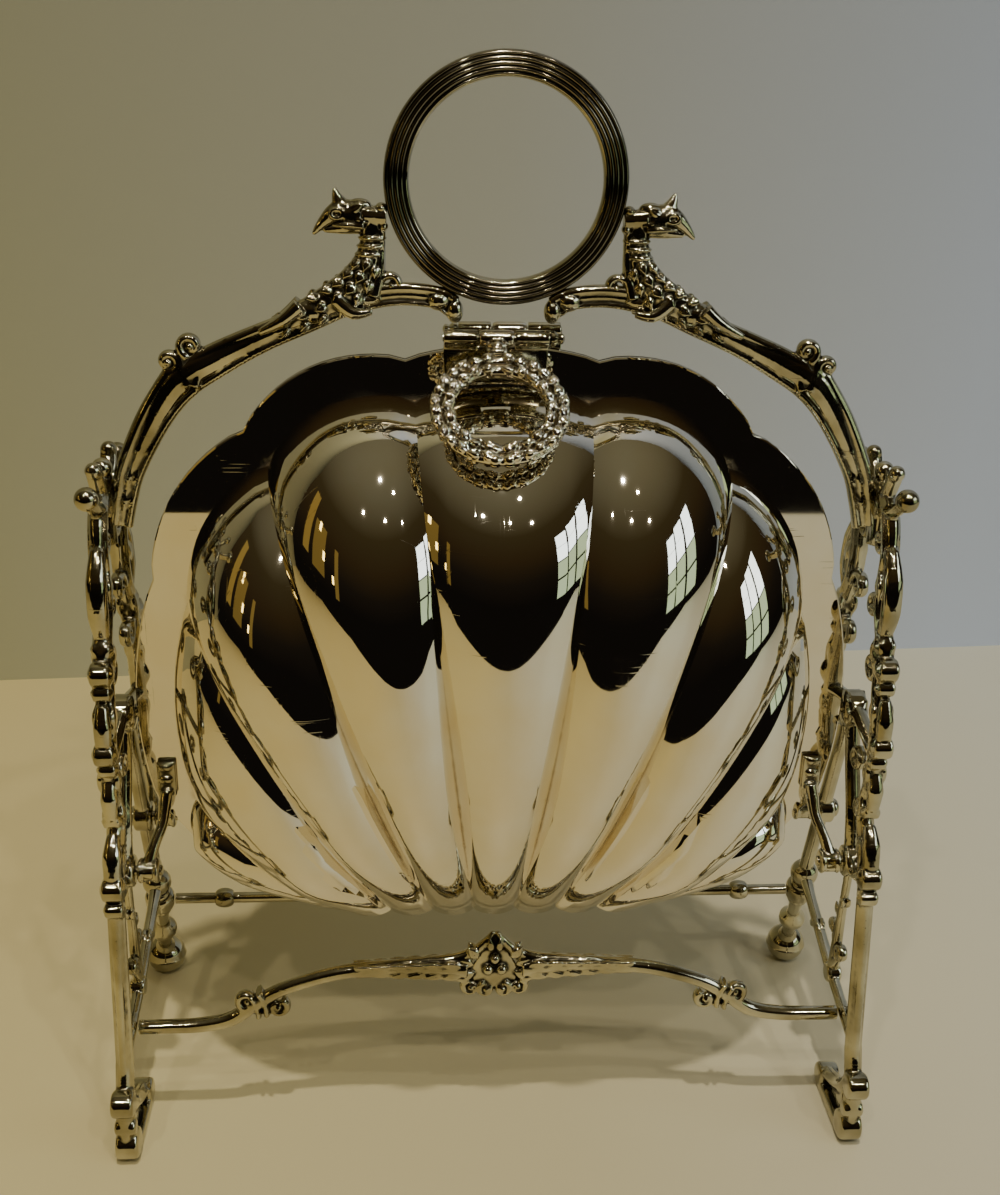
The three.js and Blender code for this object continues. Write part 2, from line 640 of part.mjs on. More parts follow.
// End frames: two mirrored rails that meet at the crest, with the front one running on into a leg
const pair = (shares, side = 1) =>
  shares.map(([across, up]) => vec(0, side * across * frame.reach, up * frame.top));
const bar = (shares, side, half, swell = 0, steps = 3) =>
  limb(pair(shares, side), [half + swell, half + swell], frame.thick / 2 + swell, alongX, steps);

function legLine(inward = 0) {
  const from = vec(0, leg.topY, leg.topZ);
  return rod(from, collarAt, leg.rod + inward, count.round);
}

// Scroll foot: the leg curls under at the toe, and an arched bar runs back to the heel
function footSolid(swell = 0) {
  const half = vec(foot.thick / 2 + swell, 0, 0);
  const curls = [
    [vec(0, -browAt.y, browAt.z), foot.brow],
    [vec(0, -foot.toe, foot.toeCurl), foot.toeCurl],
    [vec(0, -foot.heel - foot.heelCurl, foot.heelCurl), foot.heelCurl],
  ].map(([at, radius]) => rod(at.clone().sub(half), at.clone().add(half), radius + swell));
  const sole = block(foot.thick, foot.toe - foot.heel, foot.sole,
    vec(0, -(foot.toe + foot.heel) / 2, foot.sole / 2));
  return [bar(shinShares, -1, foot.bar, swell, 4), bar(archShares, -1, foot.bar, swell, 4), sole, ...curls];
}

function endFrameSolid() {
  const shapes = [bar(legShares, -1, frame.rail), ...footSolid()];
  for (const side of [-1, 1]) {
    shapes.push(bar(railShares, side, frame.rail, 0, 10));
    shapes.push(bar(hornShares, side, frame.slim, 0, 3));
    for (const at of pair(ballShares, side)) shapes.push(ball(at, frame.ball));
    for (const at of pair(beadShares, side)) shapes.push(ball(at, frame.bead));
  }
  shapes.push(bar(scrollShares, 1, frame.slim));
  shapes.push(bar(crestShares, 1, frame.rail, 0, 2));
  shapes.push(bar(crossShares, 1, frame.slim));
  shapes.push(bar(strutShares, 1, frame.slim));
  shapes.push(bar(bridgeShares, 1, frame.slim));
  shapes.push(ball(vec(0, 0, frame.top - frame.ball), frame.ball));
  const half = vec(frame.thick / 2, 0, 0);
  for (const [at, radius] of [
    [vec(0, -pivot.y, pivot.z), leg.boss], [vec(0, 0, 0.62 * frame.top), frame.hub],
  ]) shapes.push(rod(at.clone().sub(half), at.clone().add(half), radius));
  const long = vec(frame.thick * 2, 0, 0);
  const pinAt = vec(0, -pivot.y, pivot.z);
  const bossAt = vec(0, pivot.y, pivot.z);
  return joined(shapes.map(solid))
    .subtract(solid(legLine(gap)))
    .subtract(solid(rod(bossAt.clone().sub(long), bossAt.clone().add(long), leg.boss + gap)))
    .subtract(solid(rod(pinAt.clone().sub(long), pinAt.clone().add(long), pivot.pin + gap)));
}

// Rear legs: a raked rod with the rear pivot boss, a turned collar and a neck down to the ball foot
const collarAt = vec(0, leg.collarY, leg.collarZ);
const bulbAt = vec(0, leg.topY, leg.topZ).sub(collarAt).setLength(leg.bulbUp).add(collarAt);
const ballAt = (outward) => vec(outward * ballFoot.outward, ballFoot.y, ballFoot.radius - ballFoot.flat);

function rearLegSolid(outward) {
  const end = ballAt(outward);
  const long = collarAt.distanceTo(end);
  const stem = turned(collarAt, end, [
    [-leg.long / 2, 0], [-leg.long / 2, leg.collar], [leg.long / 2, leg.collar],
    [leg.long, ballFoot.neck], [long * 0.45, ballFoot.neck], [long * 0.5, ballFoot.disc],
    [long * 0.5 + ballFoot.discLong, ballFoot.disc], [long * 0.62, ballFoot.neck], [long, ballFoot.neck],
    [long, 0],
  ]);
  const half = vec(frame.thick / 2, 0, 0);
  const bossAt = vec(0, pivot.y, pivot.z);
  const boss = rod(bossAt.clone().sub(half), bossAt.clone().add(half), leg.boss);
  const bulb = ball(bulbAt, leg.bulb, count.round);
  const bore = rod(bossAt.clone().sub(half).sub(half), bossAt.clone().add(half).add(half), pivot.pin + gap);
  return joined([legLine(), stem, boss, bulb].map(solid))
    .subtract(solid(bore)).subtract(solid(ball(end, ballFoot.radius + gap, count.round)));
}

function ballFootSolid(outward) {
  const at = ballAt(outward);
  const under = block(at.z * 4, at.z * 4, at.z * 2, vec(at.x, at.y, -at.z));
  return solid(ball(at, ballFoot.radius, count.round)).subtract(solid(under));
}

// Side braces: a curved bar from the front leg to the rear leg, with a tendril up to the front pivot
function braceSolid() {
  const across = limb(pair(braceShares), [brace.rod, brace.rod], brace.thick, alongX, 10);
  const tendril = limb(pair(tendrilShares), [brace.rod * 0.8, brace.rod], brace.rod, alongX, 5);
  const bud = ball(pair([budShare])[0], brace.rod);
  const twig = limb(pair(twigShares), [brace.rod * 0.7, brace.rod], brace.rod, alongX, 3);
  const feet = [bar(legShares, -1, frame.rail, gap), ...footSolid(gap)].map(solid);
  return joined([across, tendril, bud, twig].map(solid))
    .subtract(joined(feet)).subtract(solid(legLine(gap)))
    .subtract(solid(ball(bulbAt, leg.bulb + gap, count.round)));
}

for (const [side, word] of [[-1, 'left'], [1, 'right']]) {
  const end = new THREE.Group();
  end.position.x = side * midX;
  place(end, `end_frame_${word}`, endFrameSolid(), casting);
  place(end, `rear_leg_${word}`, rearLegSolid(side), casting);
  place(end, `rear_foot_${word}`, ballFootSolid(side), plate);
  place(end, `side_brace_${word}`, braceSolid(), casting);
  const headAt = side * (frame.thick / 2 + gap);
  const pinLong = frame.thick + gap * 4 + pivot.barrelLong;
  for (const [way, name] of [[-1, 'front'], [1, 'rear']]) {
    const from = vec(headAt + side * pivot.headLong, way * pivot.y, pivot.z);
    const to = from.clone().setX(from.x - side * pinLong);
    place(end, `${name}_pivot_pin_${word}`, turned(from, to, [
      [0, 0], [0, pivot.head * 0.7], [pivot.headLong / 2, pivot.head], [pivot.headLong, pivot.head],
      [pivot.headLong, pivot.pin], [pinLong + pivot.headLong, pivot.pin], [pinLong + pivot.headLong, 0],
    ]), casting);
  }
  box.add(end);
}

// Front stretcher: one casting with curled shoulders and a palmette in the middle
function stretcherSolid() {
  const parts = [];
  for (const side of [-1, 1]) {
    const lay = (shares) => spread(
      side, shares, stretcherSpan, stretcher.endZ, stretcher.rise, -stretcher.y);
    parts.push(limb(lay(stretcherShares), [stretcher.rod, stretcher.rod, stretcher.rod * 1.2],
      stretcher.rod, alongY, 11));
    for (const at of lay(stretcherCurlShares)) parts.push(ball(at, stretcher.curl));
    for (const share of [0.28, 0.85]) {
      parts.push(ball(vec(side * share * cartouche.half, -stretcher.y, cartouche.bottomZ), cartouche.ball));
    }
  }
  const { half, topZ, bottomZ } = cartouche;
  const shape = new THREE.Shape();
  const waist = mix(bottomZ, topZ, 0.45);
  shape.moveTo(0, bottomZ);
  shape.lineTo(half * 0.7, bottomZ);
  shape.quadraticCurveTo(half, waist, half * 0.45, mix(waist, topZ, 0.4));
  shape.lineTo(half * 0.12, topZ);
  shape.lineTo(-half * 0.12, topZ);
  shape.lineTo(-half * 0.45, mix(waist, topZ, 0.4));
  shape.quadraticCurveTo(-half, waist, -half * 0.7, bottomZ);
  const geometry = new THREE.ExtrudeGeometry(shape, {
    depth: cartouche.thick, bevelEnabled: false, curveSegments: 4,
  });
  geometry.rotateX(Math.PI / 2);
  geometry.translate(0, -stretcher.y + cartouche.thick / 2, 0);
  parts.push(geometry);
  for (const [across, up] of [[-0.3, 0.42], [0.3, 0.42], [0, 0.62]]) {
    parts.push(ball(vec(across * half, -stretcher.y - cartouche.thick / 2, mix(bottomZ, topZ, up)),
      cartouche.berry));
  }
  return joined(parts.map(solid));
}
place(box, 'front_stretcher', stretcherSolid(), casting);

// Rear stretcher: a thin rod with two knops, let in between the collars of the rear legs
function rearStretcherSolid() {
  const half = midX - leg.collar - gap;
  const at = (x) => vec(x, leg.collarY, leg.collarZ);
  const parts = [rod(at(-half), at(half), rearRod.radius, 8)];
  for (const side of [-1, 1]) parts.push(ball(at(side * half * (1 - rearRod.knopShare)), rearRod.knop));
  return joined(parts.map(solid));
}
place(box, 'rear_stretcher', rearStretcherSolid(), casting);

export default box;
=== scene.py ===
import bpy
import math
import numpy as np
from mathutils import Matrix, Vector


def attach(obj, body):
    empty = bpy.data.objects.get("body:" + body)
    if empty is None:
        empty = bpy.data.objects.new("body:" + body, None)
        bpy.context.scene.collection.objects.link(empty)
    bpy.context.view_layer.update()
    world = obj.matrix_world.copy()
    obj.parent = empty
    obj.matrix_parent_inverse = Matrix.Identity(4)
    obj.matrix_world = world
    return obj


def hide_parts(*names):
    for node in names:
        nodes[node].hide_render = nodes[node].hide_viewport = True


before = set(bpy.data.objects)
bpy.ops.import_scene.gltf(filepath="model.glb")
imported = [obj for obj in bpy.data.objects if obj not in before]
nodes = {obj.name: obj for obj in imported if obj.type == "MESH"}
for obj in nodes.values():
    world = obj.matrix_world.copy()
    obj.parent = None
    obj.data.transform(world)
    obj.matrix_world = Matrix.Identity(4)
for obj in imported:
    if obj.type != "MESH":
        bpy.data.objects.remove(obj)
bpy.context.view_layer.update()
mm = 0.001

# The viewpoint: just above the box and to its left, looking down on the front shell.
view_at = Vector((-24.1, -361.2, 306.0)) * mm
view_down = math.radians(22.36)
view_turn = math.radians(-3.95)
view_lean = math.radians(1.38)
view_lens = 42.2
film_wide = 36
near_limit = 10 * mm


def new_object(name, data):
    made = bpy.data.objects.new(name, data)
    bpy.context.scene.collection.objects.link(made)
    return made


camera_data = bpy.data.cameras.new("camera")
camera_data.lens = view_lens
camera_data.sensor_width = film_wide
camera_data.clip_start = near_limit
camera = new_object("camera", camera_data)
camera.matrix_world = (
    Matrix.Translation(view_at)
    @ Matrix.Rotation(view_turn, 4, "Z")
    @ Matrix.Rotation(math.radians(90) - view_down, 4, "X")
    @ Matrix.Rotation(view_lean, 4, "Z")
)
bpy.context.scene.camera = camera


# The room: a pale cream table that ends in front of the box, a grey wall close behind it, small warm
# spots overhead, amber lamps on the left and a paned window on the right. The polished shells show all
# of it: the table low down, the dark room beyond its edge in a band, and the lights above.
def feed(tree, node, feeds):
    """Gives each input its value, or links it to the socket it comes from."""
    for word, value in feeds.items():
        if isinstance(value, bpy.types.NodeSocket):
            tree.links.new(value, node.inputs[word])
        else:
            node.inputs[word].default_value = value


def add_node(tree, kind, feeds, **settings):
    node = tree.nodes.new("ShaderNode" + kind)
    for word, value in settings.items():
        setattr(node, word, value)
    feed(tree, node, feeds)
    return node


def new_material(name, colour, roughness, metallic=1.0):
    material = bpy.data.materials.new(name)
    material.use_nodes = True
    tree = material.node_tree
    shader = tree.nodes["Principled BSDF"]
    feed(tree, shader, {"Base Color": (*colour, 1), "Roughness": roughness, "Metallic": metallic})
    return material, tree, shader


def pick(*pieces):
    """These pieces alone are selected, and the first of them is active."""
    if bpy.context.object and bpy.context.object.mode != "OBJECT":
        bpy.ops.object.mode_set(mode="OBJECT")
    bpy.ops.object.select_all(action="DESELECT")
    for piece in pieces:
        piece.select_set(True)
    if pieces:
        bpy.context.view_layer.objects.active = pieces[0]


def stage_plane(name, corners, roughness):
    pick()
    bpy.ops.mesh.primitive_plane_add(size=1)
    plane = bpy.context.object
    plane.name = name
    for vertex, corner in zip(plane.data.vertices, corners):
        vertex.co = Vector(corner) * mm
    material, tree, shader = new_material(name, (1, 1, 1), roughness, 0.0)
    plane.data.materials.append(material)
    return tree, shader


def coordinate(tree, space, axis):
    """How far along one axis each point of the surface lies."""
    place = add_node(tree, "TexCoord", {}).outputs[space]
    return add_node(tree, "SeparateXYZ", {0: place}).outputs[axis]


def spread(tree, value, low, high, to_low=0, to_high=1, **settings):
    """Stretches a value so that what lies between low and high fills the range."""
    return add_node(tree, "MapRange", {
        "Value": value, "From Min": low, "From Max": high, "To Min": to_low, "To Max": to_high},
        **settings).outputs["Result"]


def colour_ramp(tree, value, stops):
    ramp = add_node(tree, "ValToRGB", {0: value})
    elements = ramp.color_ramp.elements
    while len(elements) < len(stops):
        elements.new(0.5)
    for element, (at, colour) in zip(elements, stops):
        element.position = at
        element.color = (*colour, 1)
    return ramp.outputs["Color"]


light_drift_left = -220 * mm
light_drift_right = 260 * mm


def painted_light_across(tree, shader, stops):
    """Painted light: the colour drifts from left to right as the light of the two lamps does in the real
    room.
    """
    across = spread(tree, coordinate(tree, "Object", "X"), light_drift_left, light_drift_right)
    painted = colour_ramp(tree, across, stops)
    feed(tree, shader, {"Base Color": painted})
    return painted


edge_left = (-1500, 186.5)
edge_right = (1500, 396.5)
table_front = -533
table_back = 1600
wall_top = 1600
ground = -0.2
table_tree, table_shader = stage_plane("table", [
    (edge_left[0], table_front, ground), (edge_right[0], table_front, ground),
    (edge_left[0], table_back, ground), (edge_right[0], table_back, ground)], 0.5)
# The table is cream, with painted light drifting from warm on the left to cool on the right.
painted_light_across(table_tree, table_shader, [
    (0, (0.70, 0.59, 0.28)), (0.5, (0.60, 0.53, 0.32)), (1, (0.64, 0.62, 0.50))])
wall_tree, wall_shader = stage_plane("wall", [
    (*edge_left, ground), (*edge_right, ground), (*edge_left, wall_top), (*edge_right, wall_top)], 0.9)
# The wall's colour is painted light too: warm on the left, blue-grey by the window on the right.
wall_light_drift = painted_light_across(wall_tree, wall_shader, [
    (0, (0.33, 0.325, 0.21)), (0.5, (0.37, 0.375, 0.325)), (1, (0.42, 0.47, 0.58))])

# The table throws light back onto the foot of the wall; that light is painted in, so the colour pales towards
# it.
pale_height = 330 * mm
paleness = spread(wall_tree, coordinate(wall_tree, "Object", "Z"), 0, pale_height, 1.26, 0.88)
paler = add_node(wall_tree, "VectorMath", {0: wall_light_drift, "Scale": paleness}, operation="SCALE")
feed(wall_tree, wall_shader, {"Base Color": paler.outputs["Vector"]})

# The wall is painted on the box's side only: seen from behind it is open.
behind = add_node(wall_tree, "NewGeometry", {})
open_air = add_node(wall_tree, "BsdfTransparent", {})
one_sided = add_node(wall_tree, "MixShader", {
    0: behind.outputs["Backfacing"], 1: wall_shader.outputs[0], 2: open_air.outputs[0]})
feed(wall_tree, wall_tree.nodes["Material Output"], {"Surface": one_sided.outputs[0]})

world = bpy.data.worlds.new("room")
bpy.context.scene.world = world
world.use_nodes = True
sky = world.node_tree
room_colours = colour_ramp(sky, coordinate(sky, "Generated", "Z"), [
    (0.0, (0.006, 0.005, 0.004)), (0.20, (0.012, 0.009, 0.006)), (0.42, (0.030, 0.019, 0.008)),
    (0.66, (0.042, 0.031, 0.013)), (1.0, (0.16, 0.142, 0.086)),
])
feed(sky, sky.nodes["Background"], {"Color": room_colours, "Strength": 1.0})


def mix(a, b, t):
    return a + (b - a) * t


def soft_lamp(name, at, aim, size, power, colour, shape="RECTANGLE"):
    data = bpy.data.lights.new(name, "AREA")
    data.shape = shape
    data.size, data.size_y = size
    data.energy = power
    data.color = colour
    lamp = new_object(name, data)
    lamp.location = at
    lamp.rotation_euler = (Vector(aim) - Vector(at)).to_track_quat("-Z", "Y").to_euler()


spot_size = (0.05, 0.05)
lamp_size = (0.05, 0.10)
pane_size = (0.27, 0.25)
box_middle = (0, 0, 0.15)
spot_aim = (0, 0, 0.1)
spot_warm = (1.0, 0.92, 0.77)
lamp_amber = (1.0, 0.74, 0.24)
glow_amber = (1.0, 0.66, 0.14)
daylight = (0.80, 0.91, 1.0)
leafy_light = (0.62, 0.80, 0.52)
for number, (at, power) in enumerate([
    ((-0.02, -0.44, 1.62), 11.0), ((-0.46, -0.95, 1.55), 3.0), ((0.12, -1.15, 1.6), 2.6),
    ((0.62, -1.05, 1.5), 3.0), ((0.30, -0.66, 1.7), 2.2),
]):
    soft_lamp(f"spot_{number}", at, spot_aim, spot_size, power, spot_warm, "DISK")
for number, at in enumerate([(-1.25, -0.55, 0.52), (-1.20, -0.38, 0.76), (-1.3, -0.85, 0.40)]):
    soft_lamp(f"warm_lamp_{number}", at, box_middle, lamp_size, 0.10, lamp_amber)
for number, (at, size, power) in enumerate([
    ((-1.50, -0.50, 0.62), (0.34, 0.62), 0.11), ((-1.45, -0.15, 0.75), (0.16, 0.80), 0.10),
    ((-1.40, -1.05, 0.55), (0.12, 0.70), 0.05),
]):
    soft_lamp(f"lamp_glow_{number}", at, box_middle, size, power, glow_amber)
leaves_outside = {(0, 0), (0, 1), (1, 0), (2, 0), (1, 1), (2, 1)}
for column in range(3):
    for row in range(4):
        at = (mix(1.52, 1.36, column / 2), mix(-0.42, -1.06, column / 2), 0.22 + 0.28 * row)
        shaded = (column, row) in leaves_outside
        power, colour = (0.22, leafy_light) if shaded else (0.75, daylight)
        soft_lamp(f"pane_{column}_{row}", at, box_middle, pane_size, power, colour)


# Silver plate on sheet: the raised metal of the shells, mirror bright, a little warm where the plate
# is thin, with shade painted dark into the creases. It carries the hairlines of many polishings
# and faint smears from handling.
def effect(name, inputs, outputs):
    """A surface effect that several finishes share, with named values going in and coming out."""
    group = bpy.data.node_groups.new(name, "ShaderNodeTree")
    for word, value in inputs.items():
        kind = "NodeSocketColor" if isinstance(value, tuple) else "NodeSocketFloat"
        group.interface.new_socket(word, in_out="INPUT", socket_type=kind).default_value = value
    for word, kind in outputs.items():
        group.interface.new_socket(word, in_out="OUTPUT", socket_type="NodeSocket" + kind)
    given = group.nodes.new("NodeGroupInput").outputs
    made = group.nodes.new("NodeGroupOutput").inputs
    place = add_node(group, "TexCoord", {}).outputs["Object"]
    return group, given, made, place


def maths(tree, operation, *values, **settings):
    return add_node(tree, "Math", dict(enumerate(values)), operation=operation, **settings).outputs[0]


def noise(tree, place, scale, detail=2, roughness=0.5):
    return add_node(tree, "TexNoise", {
        "Vector": place, "Scale": scale, "Detail": detail, "Roughness": roughness}).outputs["Fac"]


def hairline_effect():
    """Fine crossed scratches, a few tenths of a millimetre apart and a centimetre or two long."""
    group, given, made, place = effect(
        "hairlines", {"Depth": 0.1, "Crowding": 0.5}, {"Lines": "Float", "Normal": "Vector"})
    lines = 0
    for turn, stretch in (((0.2, 0.7, 0.3), (40, 1900, 40)), ((0.9, -0.4, 1.3), (1600, 55, 45)),
                          ((-0.5, 1.2, 2.2), (50, 60, 1700))):
        mapping = add_node(group, "Mapping", {"Vector": place, "Rotation": turn, "Scale": stretch})
        thin = spread(group, noise(group, mapping.outputs["Vector"], 1, 1), 0.66, 0.74)
        lines = maths(group, "MAXIMUM", lines, thin)
    some = maths(group, "LESS_THAN", noise(group, place, 45), given["Crowding"])
    kept = maths(group, "MULTIPLY", lines, some)
    bump = add_node(group, "Bump", {"Distance": 0.04 * mm, "Strength": given["Depth"], "Height": kept})
    group.links.new(kept, made["Lines"])
    group.links.new(bump.outputs["Normal"], made["Normal"])
    return group


def handling_effect():
    """Smears of wax and fingers: the roughness drifts between two values, with hairlines on top."""
    group, given, made, place = effect(
        "handling", {"Clean": 0.03, "Smeared": 0.12, "Size": 40.0, "Lines": 0.0}, {"Roughness": "Float"})
    cloud = noise(group, place, given["Size"], 5, 0.6)
    smears = spread(group, cloud, 0.42, 0.74, given["Clean"], given["Smeared"])
    lined = maths(group, "MULTIPLY_ADD", given["Lines"], 0.05, smears)
    group.links.new(lined, made["Roughness"])
    return group


def tone_and_shade_effect():
    """Bright on the ridges, warm on the flats and nearly black in the hollows, where shade is painted into
    the colour.
    """
    group, given, made, place = effect(
        "tone_and_shade", {"Bright": (1, 1, 1, 1), "Warm": (1, 1, 1, 1), "Dark": (0, 0, 0, 1),
                    "From": 0.5, "To": 0.62, "Patches": 0.5}, {"Color": "Color", "Hollow": "Float"})
    depth = add_node(group, "Attribute", {}, attribute_name="hollow")
    ragged = maths(group, "MULTIPLY_ADD", noise(group, place, 420, 4), 0.12, depth.outputs["Fac"])
    dark = spread(group, maths(group, "SUBTRACT", ragged, 0.06), given["From"], given["To"],
                  interpolation_type="SMOOTHSTEP")
    flats = spread(group, noise(group, place, 70, 3), 0.35, 0.65, 0, given["Patches"])
    skin = add_node(
        group, "Mix", {"Factor": flats, "A": given["Bright"], "B": given["Warm"]}, data_type="RGBA")
    whole = add_node(group, "Mix", {"Factor": dark, "A": skin.outputs["Result"], "B": given["Dark"]},
                     data_type="RGBA")
    group.links.new(whole.outputs["Result"], made["Color"])
    group.links.new(dark, made["Hollow"])
    return group


hairlines = hairline_effect()
handling = handling_effect()
# The hollows of every silver finish are darkened with painted shade.
tone_and_shade = tone_and_shade_effect()
hollow_dullness = 0.4


def silver_finish(name, bright, warm, dark, reach, patches, clean, smeared, smear_size, depth, crowding):
    """A metal finish: its three colours, the dark one being painted shade in the hollows, how far down that
    shade begins, and how smooth it is.
    """
    material, tree, shader = new_material(name, bright, clean)
    tone_and_shade_colour = add_node(tree, "Group", {
        "Bright": (*bright, 1), "Warm": (*warm, 1), "Dark": (*dark, 1),
        "From": reach[0], "To": reach[1], "Patches": patches}, node_tree=tone_and_shade)
    scratch = add_node(tree, "Group", {"Depth": depth, "Crowding": crowding}, node_tree=hairlines)
    smear = add_node(tree, "Group", {
        "Clean": clean, "Smeared": smeared, "Size": smear_size, "Lines": scratch.outputs["Lines"]},
        node_tree=handling)
    dull = maths(tree, "MULTIPLY_ADD", tone_and_shade_colour.outputs["Hollow"], hollow_dullness, smear.outputs["Roughness"],
                 use_clamp=True)
    feed(tree, shader, {
        "Base Color": tone_and_shade_colour.outputs["Color"], "Roughness": dull, "Normal": scratch.outputs["Normal"]})
    return material


hollow_gain = 2.2


def recesses(piece, softening=4):
    """Marks how deep in a hollow each point lies, for the shade painted into the colour there."""
    def read(source, word, wide, kind):
        values = np.empty(len(source) * wide, dtype=kind)
        source.foreach_get(word, values)
        return values.reshape(-1, wide)

    mesh = piece.data
    spots = read(mesh.vertices, "co", 3, float)
    outs = read(mesh.vertices, "normal", 3, float)
    a, b = read(mesh.edges, "vertices", 2, np.int64).T
    step = spots[b] - spots[a]
    long = np.maximum(np.linalg.norm(step, axis=1), 1e-9)
    hollow = np.zeros(len(spots))
    many = np.zeros(len(spots))
    for here, way in ((a, step), (b, -step)):
        np.add.at(hollow, here, (way * outs[here]).sum(1) / long)
        np.add.at(many, here, 1)
    hollow = hollow / np.maximum(many, 1)
    for _ in range(softening):
        total = hollow.copy()
        np.add.at(total, a, hollow[b])
        np.add.at(total, b, hollow[a])
        hollow = total / (many + 1)
    mask = mesh.attributes.new("hollow", "FLOAT", "POINT")
    mask.data.foreach_set("value", np.clip(0.5 + hollow * hollow_gain, 0, 1).astype(np.float32))


# The dark colour is painted shade: it darkens the creases between the lobes.
plate = silver_finish(
    "silver_plate", bright=(0.82, 0.78, 0.68), warm=(0.80, 0.73, 0.58), dark=(0.45, 0.36, 0.22),
    reach=(0.80, 1.05), patches=0.8, clean=0.018, smeared=0.05, smear_size=30, depth=0.10, crowding=0.45)

# Shells: each one is raised from a single sheet into nine lobes that fan out from the pivot line,
# with a flat lobed flange turned out round its mouth. The valleys are narrow creases.
# The rear shell is the front one turned round.
pivot_out = 15
pivot_up = 79
fan_up = 112
shell_half_wide = 86 * mm
shell_high = 134.5 * mm
shell_rim_y = 0.4 * mm
shell_flange = 11 * mm
shell_flange_thick = 1.2 * mm
shell_bevel = 0.4 * mm
shell_wall = 1.1 * mm
shell_deep = 34 * mm
shell_hollow = 14.3 * mm
shell_rise = 6.6 * mm
shell_bottom_rise = 1.8 * mm
shell_corner_rise = 4 * mm
shell_crease = math.radians(40)
pivot_y = pivot_out * mm
pivot_z = pivot_up * mm
shell_heart = Vector((0, -pivot_y, fan_up * mm))
arc_sweep = math.radians(110)
notch_shares = [(1, 0), (1, 0.119), (0.983, 0.587), (0.715, 0.87), (0.267, 1)]
bottom_shares = [1, 0.488, 0.349, 0.209, 0.07]
depth_shares = [0, 0.19, 0.58, 0.86, 1]
rise_shares = [0.8, 1.05, 1.15, 1.12, 1]
rim_rise_shares = [0.4, 0.8, 1.05, 1.2, 0.58]
deepest_share = 0.72
lobe_fullness = 0.74
lobes = 9
lobe_steps = 14
arc_steps = 10
lower_steps = 14
upper_steps = 14


def ease(t):
    t = min(max(t, 0.0), 1.0)
    return t * t * (3 - 2 * t)


def shell_rows():
    """How far each row lies round the bottom, or up the fan, and how deep the bowl is there."""
    rows = []
    for i in range(arc_steps + 1):
        share = i / arc_steps
        rows.append({"turn": arc_sweep * share, "a": 0.0, "belly": 0.0, "swell": ease(2 * share)})
    for i in range(1, lower_steps + 1):
        share = i / lower_steps
        belly = math.sin(math.pi / 2 * share) ** 0.85
        rows.append({"turn": None, "a": deepest_share * share, "belly": belly, "swell": 1.0})
    for i in range(1, upper_steps + 1):
        turn = math.pi / 2 * i / upper_steps
        a = mix(deepest_share, 1, math.sin(turn))
        rows.append({"turn": None, "a": a, "belly": max(math.cos(turn), 0.0), "swell": 1.0})
    return rows


def valley_point(k, row):
    """A point of the crease between two lobes, counted from the left tip of the shell."""
    side, i = (-1, k) if k <= lobes // 2 else (1, lobes - k)
    front = -shell_rim_y - shell_flange_thick
    if i == 0:
        return Vector((side * shell_half_wide, front, pivot_z))
    foot = side * bottom_shares[i] * shell_half_wide
    radius = shell_hollow - shell_bottom_rise * row["swell"]
    if row["turn"] is not None:
        turn = row["turn"]
        return Vector((foot, -pivot_y + radius * math.cos(turn), pivot_z - radius * math.sin(turn)))
    start_y = pivot_y - radius * math.cos(arc_sweep) + front
    start_z = pivot_z - radius * math.sin(arc_sweep)
    across, up = notch_shares[i]
    a = row["a"]
    depth = start_y * (1 - a * a) + depth_shares[i] * shell_deep * row["belly"]
    return Vector((
        mix(foot, side * across * shell_half_wide, a),
        front - depth,
        mix(start_z, pivot_z + up * shell_high, a),
    ))


def lobe_rise(k, row):
    i = min(k, lobes - 1 - k)
    low = (shell_corner_rise if i == 0 else shell_bottom_rise) * row["swell"]
    if row["turn"] is not None:
        return low
    middle = mix(low, rise_shares[i] * shell_rise, ease(row["a"] / 0.35))
    return mix(middle, rim_rise_shares[i] * shell_rise, ease((row["a"] - 0.8) / 0.2))


def shell_columns():
    rows = shell_rows()
    last = len(rows) - 1
    columns = []
    for k in range(lobes):
        left = [valley_point(k, row) for row in rows]
        right = [valley_point(k + 1, row) for row in rows]
        middle = [(a + b) / 2 for a, b in zip(left, right)]
        for step in range(lobe_steps + (k == lobes - 1)):
            w = step / lobe_steps
            crown = math.sin(math.pi * w) ** lobe_fullness if 0 < step < lobe_steps else 0
            column = []
            for j, row in enumerate(rows):
                up = middle[min(j + 1, last)] - middle[max(j - 1, 0)]
                out = (right[j] - left[j]).cross(up)
                if j == last:
                    out.y = 0
                out.normalize()
                if out.dot(middle[j] - shell_heart) < 0:
                    out.negate()
                column.append(left[j].lerp(right[j], w) + out * lobe_rise(k, row) * crown)
            columns.append(column)
    return columns


